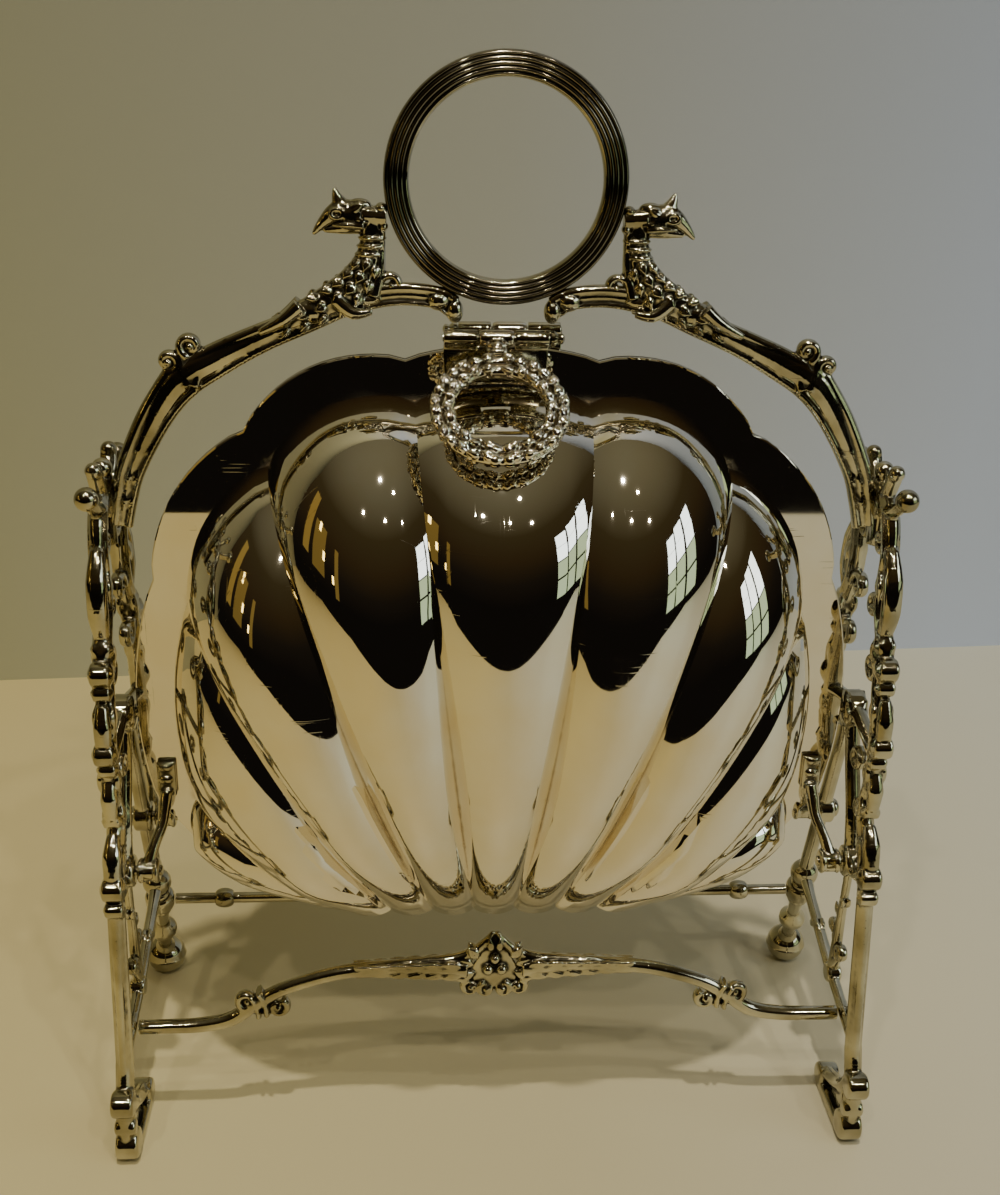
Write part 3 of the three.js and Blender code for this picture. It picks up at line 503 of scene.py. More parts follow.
def shell_loops():
    """Each loop runs up the outside of the sheet, round the flange and down the inside."""
    columns = shell_columns()
    last = len(columns[0]) - 1
    loops = []
    for c in range(1, len(columns) - 1):
        column = columns[c]
        inner = []
        for j, point in enumerate(column):
            up = column[min(j + 1, last)] - column[max(j - 1, 0)]
            over = columns[c + 1][j] - columns[c - 1][j]
            out = over.cross(up).normalized()
            if out.dot(point - shell_heart) < 0:
                out.negate()
            if j == last:
                out.y = 0
                out.normalize()
            if j == 0:
                out = Vector((0, 1, 0))
            inner.append(point - out * shell_wall)
        inner[-1].y = -shell_rim_y
        rim = column[-1]
        way = Vector((rim.x, 0, rim.z - fan_up * mm)).normalized()
        share = min(c, len(columns) - 1 - c) / lobe_steps
        widening = min(share * share, 1.0)
        edge = rim + way * shell_flange * widening
        front = edge - way * shell_bevel * widening
        side = edge + Vector((0, shell_bevel * widening, 0))
        back = Vector((edge.x, -shell_rim_y, edge.z))
        loops.append([*column, front, side, back, *reversed(inner)])
    return columns[0][0], loops, columns[-1][0]


def mesh_piece(name, points, edges=(), faces=()):
    mesh = bpy.data.meshes.new(name)
    mesh.from_pydata(points, edges, faces)
    mesh.update()
    return new_object(name, mesh)


def edit_all():
    bpy.ops.object.mode_set(mode="EDIT")
    bpy.ops.mesh.select_all(action="SELECT")


said = {}


def fit(piece, name, body, node, slot="casting"):
    """Says what the piece is called, which body it rides, which solid it replaces and its slot."""
    piece.name = name
    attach(piece, body)
    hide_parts(node)
    said[name] = (name, body, node, slot)
    return piece


def make_shell(name, body, turn):
    first, loops, last = shell_loops()
    wide = len(loops[0])
    points = [first, *(point for loop in loops for point in loop), last]
    end = 1 + (len(loops) - 1) * wide
    faces = []
    for here in range(1, end, wide):
        there = here + wide
        faces += [(here + j, here + (j + 1) % wide, there + (j + 1) % wide, there + j) for j in range(wide)]
    for j in range(wide):
        k = (j + 1) % wide
        faces += [(0, 1 + k, 1 + j), (len(points) - 1, end + j, end + k)]
    shell = mesh_piece(name, points, faces=faces)
    shell.data.transform(Matrix.Rotation(turn, 4, "Z"))
    pick(shell)
    edit_all()
    bpy.ops.mesh.normals_make_consistent(inside=False)
    bpy.ops.object.mode_set(mode="OBJECT")
    bpy.ops.object.shade_smooth_by_angle(angle=shell_crease)
    recesses(shell, softening=1)
    shell.data.materials.append(plate)
    fit(shell, name, body, body, "shell_plate")


make_shell("shell_front", "front_shell", 0)
make_shell("shell_rear", "rear_shell", math.pi)

# Handle bow: two halves cast in silver, each a tapering leafy limb that rises from the end frame,
# throws out a pair of curls at the shoulder and runs in under the ring, where it ends in a droplet.
# They are filed up smooth on the outer rib and left leafy in the hollows, which are painted dark with shade.
# The dark colour is painted shade, nearly black in the hollows of every casting.
casting = silver_finish(
    "cast_silver", bright=(0.60, 0.56, 0.41), warm=(0.27, 0.235, 0.13), dark=(0.018, 0.014, 0.006),
    reach=(0.50, 0.64), patches=0.85, clean=0.06, smeared=0.16, smear_size=90, depth=0.25, crowding=0.55)
sharp_edge = math.radians(35)


def line_through(points, sizes, steps=6):
    """The smooth line through these points, with the thickness carried along it."""
    spots = [Vector(p) for p in points]
    fine = []
    for i in range(len(spots) - 1):
        before, a = spots[max(i - 1, 0)], spots[i]
        b, after = spots[i + 1], spots[min(i + 2, len(spots) - 1)]
        for step in range(steps):
            t = step / steps
            at = a * 2 + (b - before) * t + (before * 2 - a * 5 + b * 4 - after) * t * t
            at += (a * 3 - before - b * 3 + after) * t ** 3
            fine.append((at / 2, mix(sizes[i], sizes[i + 1], t)))
    fine.append((spots[-1], sizes[-1]))
    return fine


def even(sizes, wanted):
    """A short list of thicknesses spread over the wanted number of points."""
    found = []
    for i in range(wanted):
        at = (len(sizes) - 1) * i / (wanted - 1)
        low = min(int(at), len(sizes) - 2)
        found.append(mix(sizes[low], sizes[low + 1], at - low))
    return found


def draw(curve, spots):
    """A line of straight stretches in the curve."""
    spline = curve.splines.new("POLY")
    spline.points.add(len(spots) - 1)
    for point, spot in zip(spline.points, spots):
        point.co = (*spot, 1)
    return spline


def made_solid(curve):
    pick(new_object(curve.name, curve))
    bpy.ops.object.convert(target="MESH")
    return bpy.context.object


def bar(points, sizes, flat=None, steps=6):
    """A round bar bent along the line; flat squeezes it in depth, as (axis, share)."""
    route = line_through(points, even(sizes, len(points)), steps)
    curve = bpy.data.curves.new("bar", "CURVE")
    curve.dimensions = "3D"
    curve.bevel_depth = mm
    curve.bevel_resolution = 3
    curve.use_fill_caps = True
    spline = draw(curve, [at * mm for at, size in route])
    for point, (at, size) in zip(spline.points, route):
        point.radius = size
    piece = made_solid(curve)
    if flat:
        axis, share = flat
        middle = sum(p[axis] for p in points) / len(points) * mm
        for vertex in piece.data.vertices:
            vertex.co[axis] = middle + (vertex.co[axis] - middle) * share
    return piece


def upright(points, sizes, share):
    """A bar in the plane of the handle, its depth this share of its height."""
    return bar([(x, 0, z) for x, z in points], sizes, (1, share))


def own_copy(pattern, at, size, turn=Matrix.Identity(3)):
    """One more of a modelled detail, with its own mesh, at its place and size."""
    piece = new_object(pattern.name, pattern.data.copy())
    sizes = Vector(size) * mm
    piece.data.transform(Matrix.Translation(Vector(at) * mm) @ turn.to_4x4() @ Matrix.Diagonal((*sizes, 1)))
    return piece


patterns = []


def pattern_of(name):
    """The primitive just added becomes a pattern that only its copies are cast from."""
    pattern = bpy.context.object
    pattern.name = name
    patterns.append(pattern)
    return pattern


pick()
bpy.ops.mesh.primitive_uv_sphere_add(segments=16, ring_count=10, radius=1)
bead_pattern = pattern_of("bead_pattern")

# The leaf: a ball drawn out to a point at one end and hollowed a little along its middle.
leaf_shoulder = 0.87
pick()
bpy.ops.mesh.primitive_uv_sphere_add(segments=16, ring_count=12, radius=1)
leaf_pattern = pattern_of("leaf_pattern")
for vertex in leaf_pattern.data.vertices:
    across, deep, along = vertex.co
    share = (along + 1) / 2
    wide = math.sin(math.pi * min(share * 1.15, 1.0) ** 0.8)
    if share >= leaf_shoulder:
        wide = 0.35 * (1 - share) / (1 - leaf_shoulder)
    wide = max(wide, 0.06)
    groove = 0.45 * math.exp(-(across / 0.3) ** 2) if deep > 0 else 0
    vertex.co = (across * wide, deep * (1 - groove) * (0.35 + 0.65 * wide) + 0.25 * share * share, share)

# The boss: a short drum with softened edges, for scrolls that are seen edge on.
pick()
bpy.ops.mesh.primitive_cylinder_add(vertices=32, radius=1, depth=2, rotation=(0, math.radians(90), 0))
bpy.ops.object.transform_apply(location=False, rotation=True, scale=False)
edit_all()
bpy.ops.mesh.bevel(offset=0.3, segments=3)
bpy.ops.object.mode_set(mode="OBJECT")
boss_pattern = pattern_of("boss_pattern")


def bead(at, size):
    return own_copy(bead_pattern, at, size if isinstance(size, tuple) else (size, size, size))


def leaf(at, way, out, size):
    """A leaf from its root along the way, with its back towards out; size is width, thickness, length."""
    along = Vector(way).normalized()
    deep = (Vector(out) - along * Vector(out).dot(along)).normalized()
    across = deep.cross(along)
    return own_copy(leaf_pattern, at, size, Matrix((across, deep, along)).transposed())


def curl(middle, radius, start, turns, size, flat, deep=1):
    """A volute: a bar that winds in on itself and ends in an eye. start is in degrees."""
    points = []
    steps = max(int(abs(turns) * 10), 6)
    for i in range(steps + 1):
        t = i / steps
        angle = math.radians(start) + turns * 2 * math.pi * t
        reach = radius * (1 - 0.72 * t)
        spot = Vector(middle)
        spot[1 - deep] += reach * math.cos(angle)
        spot.z += reach * math.sin(angle)
        points.append(spot)
    eye = [size * 0.95] * 3
    eye[deep] *= flat * 1.1
    return [bar(points, [size, size * 0.9, size * 0.6], (deep, flat), 2), bead(middle, tuple(eye))]


def joined(parts):
    pick(*parts)
    bpy.ops.object.join()
    return bpy.context.object


def finish(piece, material):
    recesses(piece)
    piece.data.materials.clear()
    piece.data.materials.append(material)


def cast(name, parts, grain, body, node, fettle=2, material=casting):
    """The parts run together as in one mould at this grain in mm, then the skin is smoothed."""
    piece = joined(parts)
    run = piece.modifiers.new("run", "REMESH")
    run.mode = "VOXEL"
    run.voxel_size = grain * mm
    bpy.ops.object.modifier_apply(modifier="run")
    skin = piece.modifiers.new("fettle", "SMOOTH")
    skin.factor = 0.5
    skin.iterations = fettle
    bpy.ops.object.modifier_apply(modifier="fettle")
    bpy.ops.object.shade_smooth()
    finish(piece, material)
    return fit(piece, name, body, node)


def twin(piece, word, other_word, move):
    """The same piece in its other place, with its own mesh and the names of that place."""
    name, body, node, slot = [text.replace(word, other_word) for text in said[piece.name]]
    other = new_object(name, piece.data.copy())
    other.data.transform(move)
    return fit(other, name, body, node, slot)


def mirrored(piece):
    """The right hand of a left casting, from the same pattern turned over."""
    other = twin(piece, "left", "right", Matrix.Diagonal((-1, 1, 1, 1)))
    other.data.flip_normals()
    return other


bow_line = [(x, 0, z) for x, z in (
    (-101.6, 178.5), (-100, 186), (-97.5, 194.7), (-90.9, 207.8), (-83.8, 217.8), (-74.2, 223.6),
    (-62.6, 229.3), (-49.5, 234.7), (-38.9, 238.9), (-27.3, 241.0), (-17.2, 240.2), (-12.9, 237.8),
)]
bow_half = [2.4, 2.7, 3.1, 3.9, 5.0, 4.2, 3.3, 2.9, 2.6, 2.4, 2.4, 2.6]
leafless_x = -33
shoulder_x = -60


def beside_bow(share):
    """A line that runs along the bow, at this share of its half width to the left of it."""
    route = []
    for i, (point, half) in enumerate(zip(bow_line, bow_half)):
        ahead = Vector(bow_line[min(i + 1, len(bow_line) - 1)]) - Vector(bow_line[max(i - 1, 0)])
        left = Vector((-ahead.z, 0, ahead.x)).normalized()
        route.append(Vector(point) + left * half * share)
    return route


def places_along(route, places):
    """The line at these places: the spot, the next one, the thickness, the way on and the left."""
    for i in places:
        at, half = route[i]
        after = route[i + 1][0]
        ahead = (after - route[i - 1][0]).normalized()
        yield at, after, half, ahead, Vector((-ahead.z, 0, ahead.x))


def make_bow():
    parts = [
        bar(bow_line, [h * 0.86 for h in bow_half], (1, 0.66)),
        bar(beside_bow(0.72)[:5], [1.9, 2.0, 2.0, 1.7], (1, 1.1)),
        bar(beside_bow(0.66)[4:], [1.7, 1.6, 1.5, 1.4], (1, 1.15)),
        bar(beside_bow(-0.85), [1.15, 1.2, 1.1, 0.9], (1, 1.5)),
        *curl((-80.4, 0, 227.2), 3.0, 250, -1.1, 1.35, 1.6),
        *curl((-86.2, 0, 223.0), 2.7, 300, 1.1, 1.35, 1.6),
        upright([(-81.5, 217), (-83, 221.5), (-83.2, 225.4)], [2.8, 2.2, 1.6], 1.1),
        upright([(-80, 217), (-78.2, 221), (-78.0, 224.4)], [2.4, 1.8, 1.3], 1.2),
        bead((-16.8, 0, 239.4), (3.0, 2.6, 2.6)),
        bead((-12.6, 0, 236.9), (2.3, 2.6, 3.2)),
    ]
    route = line_through(bow_line, bow_half, 5)
    for at, after, half, ahead, left in places_along(route, range(3, len(route) - 4, 4)):
        if at.x > leafless_x:
            continue
        way = ahead * (1 if at.x < shoulder_x else -1)
        for out in (Vector((0, -1, 0)), Vector((0, 1, 0))):
            for side in (-1, 1):
                root = at + left * side * half * 0.1 + out * 1.25
                parts.append(leaf(root, way + left * side * 0.34, out, (half * 0.4, 0.5, 3.2 + half * 1.7)))
            parts.append(leaf(at + out * 1.5, way, out, (half * 0.26, 0.6, 3.0 + half * 1.2)))
    for at, after, half, ahead, left in places_along(route, range(2, len(route) - 2)):
        for share in (0.0, 0.5):
            parts.append(bead(at.lerp(after, share) - left * half * 0.98, (0.55, 1.75, 0.55)))
    return cast("bow_left", parts, 0.32, "frame", "handle_bow_left")


mirrored(make_bow())

# Crested beasts: a long-necked creature lies along each half of the bow with its ribbed collar and
# pointed snout turned outwards, and carries the ring on the nape of its neck. Each is cast in one,
# chased with scaly feathers, and soldered to the bow.
beast_spine = [(-64, 0, 229.8), (-56.5, 0, 233), (-48.8, 0, 236.8), (-41.5, 0, 240.6), (-36.9, 0, 245.4),
               (-34.4, 0, 250.6), (-33.6, 0, 256), (-34.4, 0, 260.6)]
beast_girth = [0.9, 2.4, 3.9, 4.9, 4.3, 3.3, 2.9, 3.0]
eye_x = -42.2
eye_z = 260.9


def make_beast():
    parts = [bar(beast_spine, beast_girth, (1, 0.78)), *curl((-28.8, 0, 243.2), 3.2, 200, -1.0, 1.15, 1.6)]
    parts += [upright(*row) for row in (
        ([(-33.4, 240.6), (-31.9, 246), (-31.4, 252), (-31.6, 257)], [2.2, 1.6, 1.3, 1.6], 1.3),
        ([(-64, 229.8), (-70, 227.2), (-76, 225.0)], [1.5, 1.2, 0.7], 1.1),
        ([(-39, 239.8), (-34.6, 239.4), (-31.2, 240.2)], [2.7, 2.0, 1.3], 1.1),
        # the nape that holds the ring
        ([(-35.6, 260.4), (-32.4, 260.2), (-29.9, 260.0)], [2.9, 2.6, 2.6], 1.0),
        # the head: a wedge that runs out to the snout, under a pointed crest
        ([(-36, 261), (-41.5, 261.4), (-45.3, 258.9), (-48.3, 255.6)], [3.0, 2.9, 1.7, 0.4], 0.85),
        ([(-36.5, 257.8), (-41.5, 257.2), (-45.6, 256.6)], [2.1, 1.5, 0.5], 1.0),
        ([(-40.6, 261.8), (-41.9, 264.2), (-42.8, 266.9)], [2.9, 1.7, 0.35], 0.8),
    )]
    parts += [bead((x, 0, z), size) for x, z, size in (
        (-49.2, 236.4, (5.2, 3.3, 3.5)), (-40.2, 241.2, (5.4, 3.4, 4.4)), (-34.4, 251.0, (3.75, 2.9, 0.8)),
        (-33.9, 253.0, (3.75, 2.9, 0.8)), (-33.5, 255.0, (3.75, 2.9, 0.8)), (-38.4, 260.2, (4.6, 3.1, 3.9)),
        (-36.6, 263.0, (3.0, 2.0, 1.6)), (-31.2, 262.4, (1.5, 2.5, 1.3)), (-30.6, 257.8, (1.2, 2.5, 1.2)),
    )]
    for front in (-1, 1):
        lid = []
        for i in range(13):
            angle = 2 * math.pi * i / 12
            lid.append((eye_x + 1.5 * math.cos(angle), front * 2.35, eye_z + 1.15 * math.sin(angle)))
        parts += [bar(lid, [0.5, 0.5], None, 1), bead((eye_x, front * 2.2, eye_z), (0.6, 0.5, 0.5))]
        parts += [bar([(x, front * y, z) for x, y, z in points], sizes, None, 4) for points, sizes in (
            ([(-35.6, 2.5, 257.9), (-39.4, 2.7, 258.2), (-43.4, 2.0, 258.2)], [0.75, 0.7, 0.35]),
            ([(-42.5, 2.8, 239.6), (-38.4, 3.3, 236.6), (-33.8, 2.5, 237.0)], [2.0, 1.7, 1.0]),
            ([(-52, 2.5, 238.0), (-56.5, 2.8, 234.4), (-62.5, 2.2, 231.2)], [2.3, 1.7, 0.9]),
        )]
        parts.append(leaf((-39.6, front * 2.3, 261.4), (0.9, 0, 0.45), (0, front, 0.4), (1.2, 0.8, 5.2)))
        parts.append(leaf((-39.0, front * 2.5, 259.4), (1.0, 0, -0.1), (0, front, 0), (1.1, 0.8, 4.6)))
    # feathers in overlapping rows down the body
    route = line_through(beast_spine, beast_girth, 5)
    for at, after, half, ahead, left in places_along(route, range(6, 27, 3)):
        for front in (-1, 1):
            for lift in (-0.66, 0.0, 0.66):
                out = Vector((0, front, 0)) + left * lift
                root = at + left * half * lift + (ahead if lift == 0 else Vector())
                root.y += front * half * 0.66 * (1 - 0.4 * abs(lift))
                parts.append(leaf(root, -ahead + out * 0.3, out, (half * 0.36, 0.9, 4.4)))
    return cast("beast_left_casting", parts, 0.26, "frame", "beast_left")


mirrored(make_beast())

# Ring handle: turned from thick rod and reeded all round, left darker than the rest by the hands
# that carry it. The bow's droplets and the beasts' napes are soldered to it.
# The dark colour is painted shade between the reeds.
ring_metal = silver_finish(
    "dark_silver", bright=(0.28, 0.25, 0.18), warm=(0.15, 0.13, 0.085), dark=(0.012, 0.010, 0.006),
    reach=(0.46, 0.56), patches=1.0, clean=0.08, smeared=0.20, smear_size=120, depth=0.3, crowding=0.55)
ring_z = 269.3
ring_outer = 30.7
ring_inner = 24.3
ring_worn = 0.8
ring_half = 2.3
ring_reeds = 5
weld = 0.01 * mm


def close_seams(gap):
    """Merges what coincides in the open mesh and turns its faces outwards."""
    bpy.ops.mesh.select_all(action="SELECT")
    bpy.ops.mesh.remove_doubles(threshold=gap)
    bpy.ops.mesh.normals_make_consistent(inside=False)
    bpy.ops.object.mode_set(mode="OBJECT")


def spun(name, section, edges, steps, centre, axis):
    piece = mesh_piece(name, section, edges)
    pick(piece)
    edit_all()
    bpy.ops.mesh.spin(steps=steps, angle=2 * math.pi, center=centre, axis=axis)
    close_seams(weld)
    return piece


def make_ring():
    """The reeded section, spun about the ring's axis; the inner face is worn bright."""
    section = []
    steps = ring_reeds * 8
    for side in (1, -1):
        for i in range(steps + 1):
            share = i / steps if side > 0 else 1 - i / steps
            crown = math.sin(math.pi * share) ** 0.5
            reed = abs(math.sin(math.pi * share * ring_reeds)) ** 0.6
            depth = ring_half * (0.30 + 0.55 * crown) + 0.62 * reed
            section.append(Vector((mix(ring_inner, ring_outer, share), side * depth, ring_z)) * mm)
    edges = [(i, (i + 1) % len(section)) for i in range(len(section))]
    ring = spun("reeded_ring", section, edges, 144, (0, 0, ring_z * mm), (0, 1, 0))
    bpy.ops.object.shade_smooth()
    finish(ring, ring_metal)
    ring.data.materials.append(casting)
    for face in ring.data.polygons:
        reach = math.hypot(face.center.x, face.center.z - ring_z * mm)
        if reach < (ring_inner + ring_worn) * mm:
            face.material_index = 1
    fit(ring, "reeded_ring", "frame", "handle_ring", "ring_metal")


make_ring()

# End frames: each one is a flat openwork casting of two undulating rails that meet in a fluted
# crest with ball tips. Scrolls, seen edge on as rounded bosses, stand all down its edges, and the
# front rail runs on into a ribbed leg with a scroll foot. The edges are filed bright.
frame_x = -105.5


def on_frame(y, z, out=0.0):
    return (frame_x + out, y, z)


def in_frame(points, sizes, flat, steps=6):
    """A bar that lies in the plane of the end frame."""
    return bar([on_frame(y, z) for y, z in points], sizes, flat, steps)


def boss(y, z, radius, half):
    return own_copy(boss_pattern, on_frame(y, z), (half, radius, radius))


def side_curl(y, z, reach, start, turns, size, flat):
    return curl(on_frame(y, z), reach, start, turns, size, flat, deep=0)


def side_leaves(y, z, lift, way, size):
    """A leaf on each face of the frame."""
    return [leaf(on_frame(y, z, face * lift), way, (face, 0, 0), size) for face in (-1, 1)]


def ribbed(points, halves, thick=2.3, rib=0.75):
    """A flat bar of the frame with a raised rib down the middle of both faces."""
    middle = sum(halves) / len(halves)
    parts = [in_frame(points, halves, (0, thick / middle), 5)]
    for face in (-1, 1):
        parts.append(bar([on_frame(y, z, face * thick * 0.86) for y, z in points], [rib, rib], None, 5))
    return parts


def slab(middle, size, soften=0):
    """A flat piece of sheet; its edges may be filed round."""
    pick()
    bpy.ops.mesh.primitive_cube_add(size=1, location=[c * mm for c in middle])
    piece = bpy.context.object
    piece.dimensions = [s * mm for s in size]
    bpy.ops.object.transform_apply(location=True, rotation=False, scale=True)
    if soften:
        edit_all()
        bpy.ops.mesh.bevel(offset=soften * mm, segments=3)
        bpy.ops.object.mode_set(mode="OBJECT")
    return piece


def stand(piece):
    """What would lie below the table is pressed flat on it."""
    for vertex in piece.data.vertices:
        vertex.co.z = max(vertex.co.z, 0)


rail_line = [
    (0, 190.7), (9, 185.2), (12.9, 175.9), (12.6, 166.1), (14.1, 157.6), (18.9, 148.9), (19.5, 139.9),
    (21.9, 130), (23.6, 120.2), (23.1, 109.9), (21, 100.1), (24.6, 92), (29.1, 83.9),
]
rail_half = [2.4, 2.5, 2.1, 2.0, 2.3, 2.9, 2.3, 2.6, 3.0, 2.3, 2.1, 2.7, 3.0]
rosette_z = 122.1


def make_frame_side(side):
    """What stands in front of the middle line of the frame, or behind it."""
    parts = []
    for points, halves, thick in (
        (rail_line, rail_half, 2.3),
        ([(5, 184), (13.5, 187.6), (19.4, 191.4)], [2.6, 2.0, 1.6], 1.9),
        ([(1.5, 184), (6.5, 191), (9.5, 196.0)], [2.2, 1.7, 1.3], 1.8),
        ([(0, 123.7), (12, 121.4), (23.5, 118.2)], [2.0, 1.7, 2.0], 1.9),
    ):
        parts += ribbed([(side * y, z) for y, z in points], halves, thick)
    parts += [bead(on_frame(side * y, z), size) for y, z, size in ((20.4, 192.4, 3.2), (10, 196.6, 2.3))]
    for y, z, radius, half in (
        (18.6, 150.0, 2.5, 2.5), (22.6, 144.6, 3.3, 2.8), (23.2, 139.4, 2.3, 2.4), (26.3, 122.8, 3.2, 2.8),
        (25.0, 117.4, 2.0, 2.4), (25.4, 101.6, 1.9, 2.3), (31.4, 83.6, 3.4, 3.0), (32.2, 77.6, 2.3, 2.6),
    ):
        parts.append(boss(side * y, z, radius, half))
        eye = max(radius - 1.3, 0.9)
        for face in (-1, 1):
            parts.append(bead(on_frame(side * y, z, face * half), (0.7, eye, eye)))
    parts += [in_frame([(side * y, z) for y, z in points], halves, (0, 1.25)) for points, halves in (
        ([(14.2, 176.5), (18.2, 169), (19.4, 160), (17.4, 152.5)], [1.5, 2.3, 2.3, 1.6]),
        ([(24.6, 136.5), (26.6, 131), (27.2, 126)], [1.3, 2.0, 1.8]),
        ([(24.8, 114), (26.6, 109), (26.4, 103)], [1.3, 2.0, 1.4]),
        ([(26.0, 98), (29.4, 93), (31.2, 87)], [1.3, 2.2, 2.0]),
    )]
    for y, z, reach, start, turns in (
        (6.6, 176.4, 3.9, 60, -1.2), (7.6, 157.2, 4.2, -20, 1.2), (12.6, 141.6, 4.6, 30, -1.2),
        (10.8, 110.4, 4.0, 10, 1.2), (17.2, 99.0, 3.2, 0, -1.1),
    ):
        parts += side_curl(side * y, z, reach, start if side > 0 else 180 - start, turns * side, 1.15, 1.7)
    for y, z, out in ((13.2, 170, 0.3), (16.4, 152, 0.2), (21.4, 136, 0.3), (23.6, 118, 0.1),
                      (22.6, 106, -0.1), (25.6, 94, 0.4)):
        parts += side_leaves(side * y, z, 2.2, (0, side * out, -1), (2.1, 1.3, 10))
    return parts


def make_end_frame():
    parts = make_frame_side(-1) + make_frame_side(1)
    parts.append(bead(on_frame(0, 194.4), 2.8))
    for y in (-4.2, 0, 4.2):
        parts += side_leaves(y * 0.3, 181, 1.9, (0, y * 0.09, 1), (1.7, 1.3, 12))
    for face in (-1, 1):
        parts.append(bead(on_frame(0, rosette_z, face * 3.2), (1.3, 1.7, 1.7)))
    for petal in range(8):
        angle = petal * math.pi / 4
        parts += side_leaves(0, rosette_z, 2.4, (0, math.cos(angle), math.sin(angle)), (1.9, 1.3, 6.6))
    for points, halves, thick in (
        ([(0, 173), (0, 182), (0, 192)], [2.6, 3.2, 2.2], 2.2),
        ([(-pivot_out, pivot_up), (-12, 92.6), (-6, 106.4), (0, rosette_z)], [2.4, 1.8, 1.8, 2.2], 1.9),
        ([(-29.1, 84.7), (-22.5, 78.8), (-pivot_out, pivot_up)], [2.2, 2.0, 2.4], 1.9),
        ([(29.1, 83.9), (27.4, 77.6), (23.4, 73.4)], [2.6, 2.1, 1.8], 2.0),
        # the scroll foot
        ([(-37.5, 29.6), (-41.0, 20.0), (-43.0, 11), (-42.2, 5)], [2.6, 3.0, 2.8, 2.6], 2.3),
        ([(-40.0, 19), (-34.5, 12.2), (-26.1, 7.6), (-17, 4.2)], [2.7, 2.5, 2.1, 2.2], 2.3),
    ):
        parts += ribbed(points, halves, thick)
    # the leg, with its bright front edge and the ground of the foot
    parts += ribbed([(-29.1, 83.9), (-30.9, 74), (-33, 60), (-35.1, 44.9), (-37.5, 29.6)],
                    [2.9, 2.4, 2.3, 2.3, 2.6], 2.1, 0.8)
    parts.append(in_frame([(-31.4, 77), (-32.8, 70), (-34.9, 58), (-37.2, 44.9), (-39.9, 28)],
                          [1.0, 1.2, 1.2, 1.2, 1.1], None, 5))
    parts.append(in_frame([(-39.5, 12), (-34.5, 7.5), (-27, 4.5)], [4.6, 4.2, 2.4], (0, 0.4)))
    parts.append(slab(on_frame(-30, 1.6), (6.2, 25, 3.2)))
    parts += [boss(*row) for row in (
        (0, rosette_z, 5.2, 2.9), (22.6, 74.2, 2.6, 2.9), (-pivot_out, pivot_up, 4.7, 2.95),
        (-44, 20.5, 3.9, 3.2), (-43.2, 11.6, 2.5, 3.0), (-42.0, 4.7, 4.6, 3.3), (-19.8, 3.9, 3.8, 3.3),
    )]
    piece = cast("end_frame_left_casting", parts, 0.45, "frame", "end_frame_left")
    stand(piece)
    return piece


mirrored(make_end_frame())

# Rear legs and ball feet: round rods that hook on the rear pivots, pass through a bulb and a
# collar, both turned, and end in a necked ball foot that leans outwards. Side braces tie them to the
# front legs, each a bent bar with a tendril up to the front pivot.
foot_at = Vector((-108.5, 45.6, 5.7))
collar_at = Vector(on_frame(28, 40))
pivot_boss = Vector(on_frame(pivot_out, pivot_up))
leg_top = Vector(on_frame(3.8, 115))
above_collar = 6
ball_radius = 6.5
ball_ridge = 0.25
longest_step = 2.5


def turned(name, start, end, profile, segments=40):
    """A turned piece between two points: pairs of distance along, and radius."""
    section = []
    for (near, radius), (far, next_radius) in zip(profile, profile[1:]):
        stretches = max(int(abs(far - near) / longest_step), 1)
        for number in range(stretches):
            share = number / stretches
            section.append(Vector((mix(radius, next_radius, share), 0, mix(near, far, share))) * mm)
    section.append(Vector((profile[-1][1], 0, profile[-1][0])) * mm)
    edges = [(i, i + 1) for i in range(len(section) - 1)]
    piece = spun(name, section, edges, segments, (0, 0, 0), (0, 0, 1))
    way = Vector(end) - Vector(start)
    turn = way.to_track_quat("Z", "Y").to_matrix().to_4x4()
    piece.data.transform(Matrix.Translation(Vector(start) * mm) @ turn)
    return piece


def dress(piece, name, body, node, slot="casting", material=casting):
    """The shading, finish and names of a piece that isn't cast from parts."""
    pick(piece)
    bpy.ops.object.shade_smooth_by_angle(angle=sharp_edge)
    finish(piece, material)
    return fit(piece, name, body, node, slot)


def make_rear_leg():
    up = (leg_top - collar_at).normalized()
    down = (foot_at - collar_at).normalized()
    long = (foot_at - collar_at).length
    neck = [(0.42, 2.1), (0.47, 3.6), (0.50, 4.4), (0.55, 4.4), (0.58, 3.2), (0.62, 2.2), (0.8, 2.3),
            (0.84, 3.3), (0.9, 3.0), (1, 0)]
    parts = [
        bar([leg_top, pivot_boss, (collar_at + leg_top) * 0.5, collar_at], [2.2, 2.4, 2.4, 2.3]),
        own_copy(boss_pattern, pivot_boss, (2.9, 4.6, 4.6)),
        bead(collar_at + up * 8.6, 4.6),
        turned("leg_turning", collar_at - down * above_collar, foot_at, [
            (0, 0), (0, 2.2), (0.6, 3.4), (1.6, 3.4), (2.2, 2.8), (3.0, 4.2), (4.2, 4.7), (7.8, 4.7),
            (9.0, 4.2), (10.0, 2.8), (11.0, 3.4), (12.2, 3.4), (13.0, 2.4),
            *((above_collar + long * share, radius) for share, radius in neck)]),
    ]
    for height in (14, 22, 30):
        for face in (Vector((-1, 0, 0)), Vector((1, 0, 0))):
            parts.append(leaf(collar_at + up * height + face * 1.4, up, face, (1.5, 1.0, 8)))
    return cast("rear_leg_left_casting", parts, 0.36, "frame", "rear_leg_left")


mirrored(make_rear_leg())

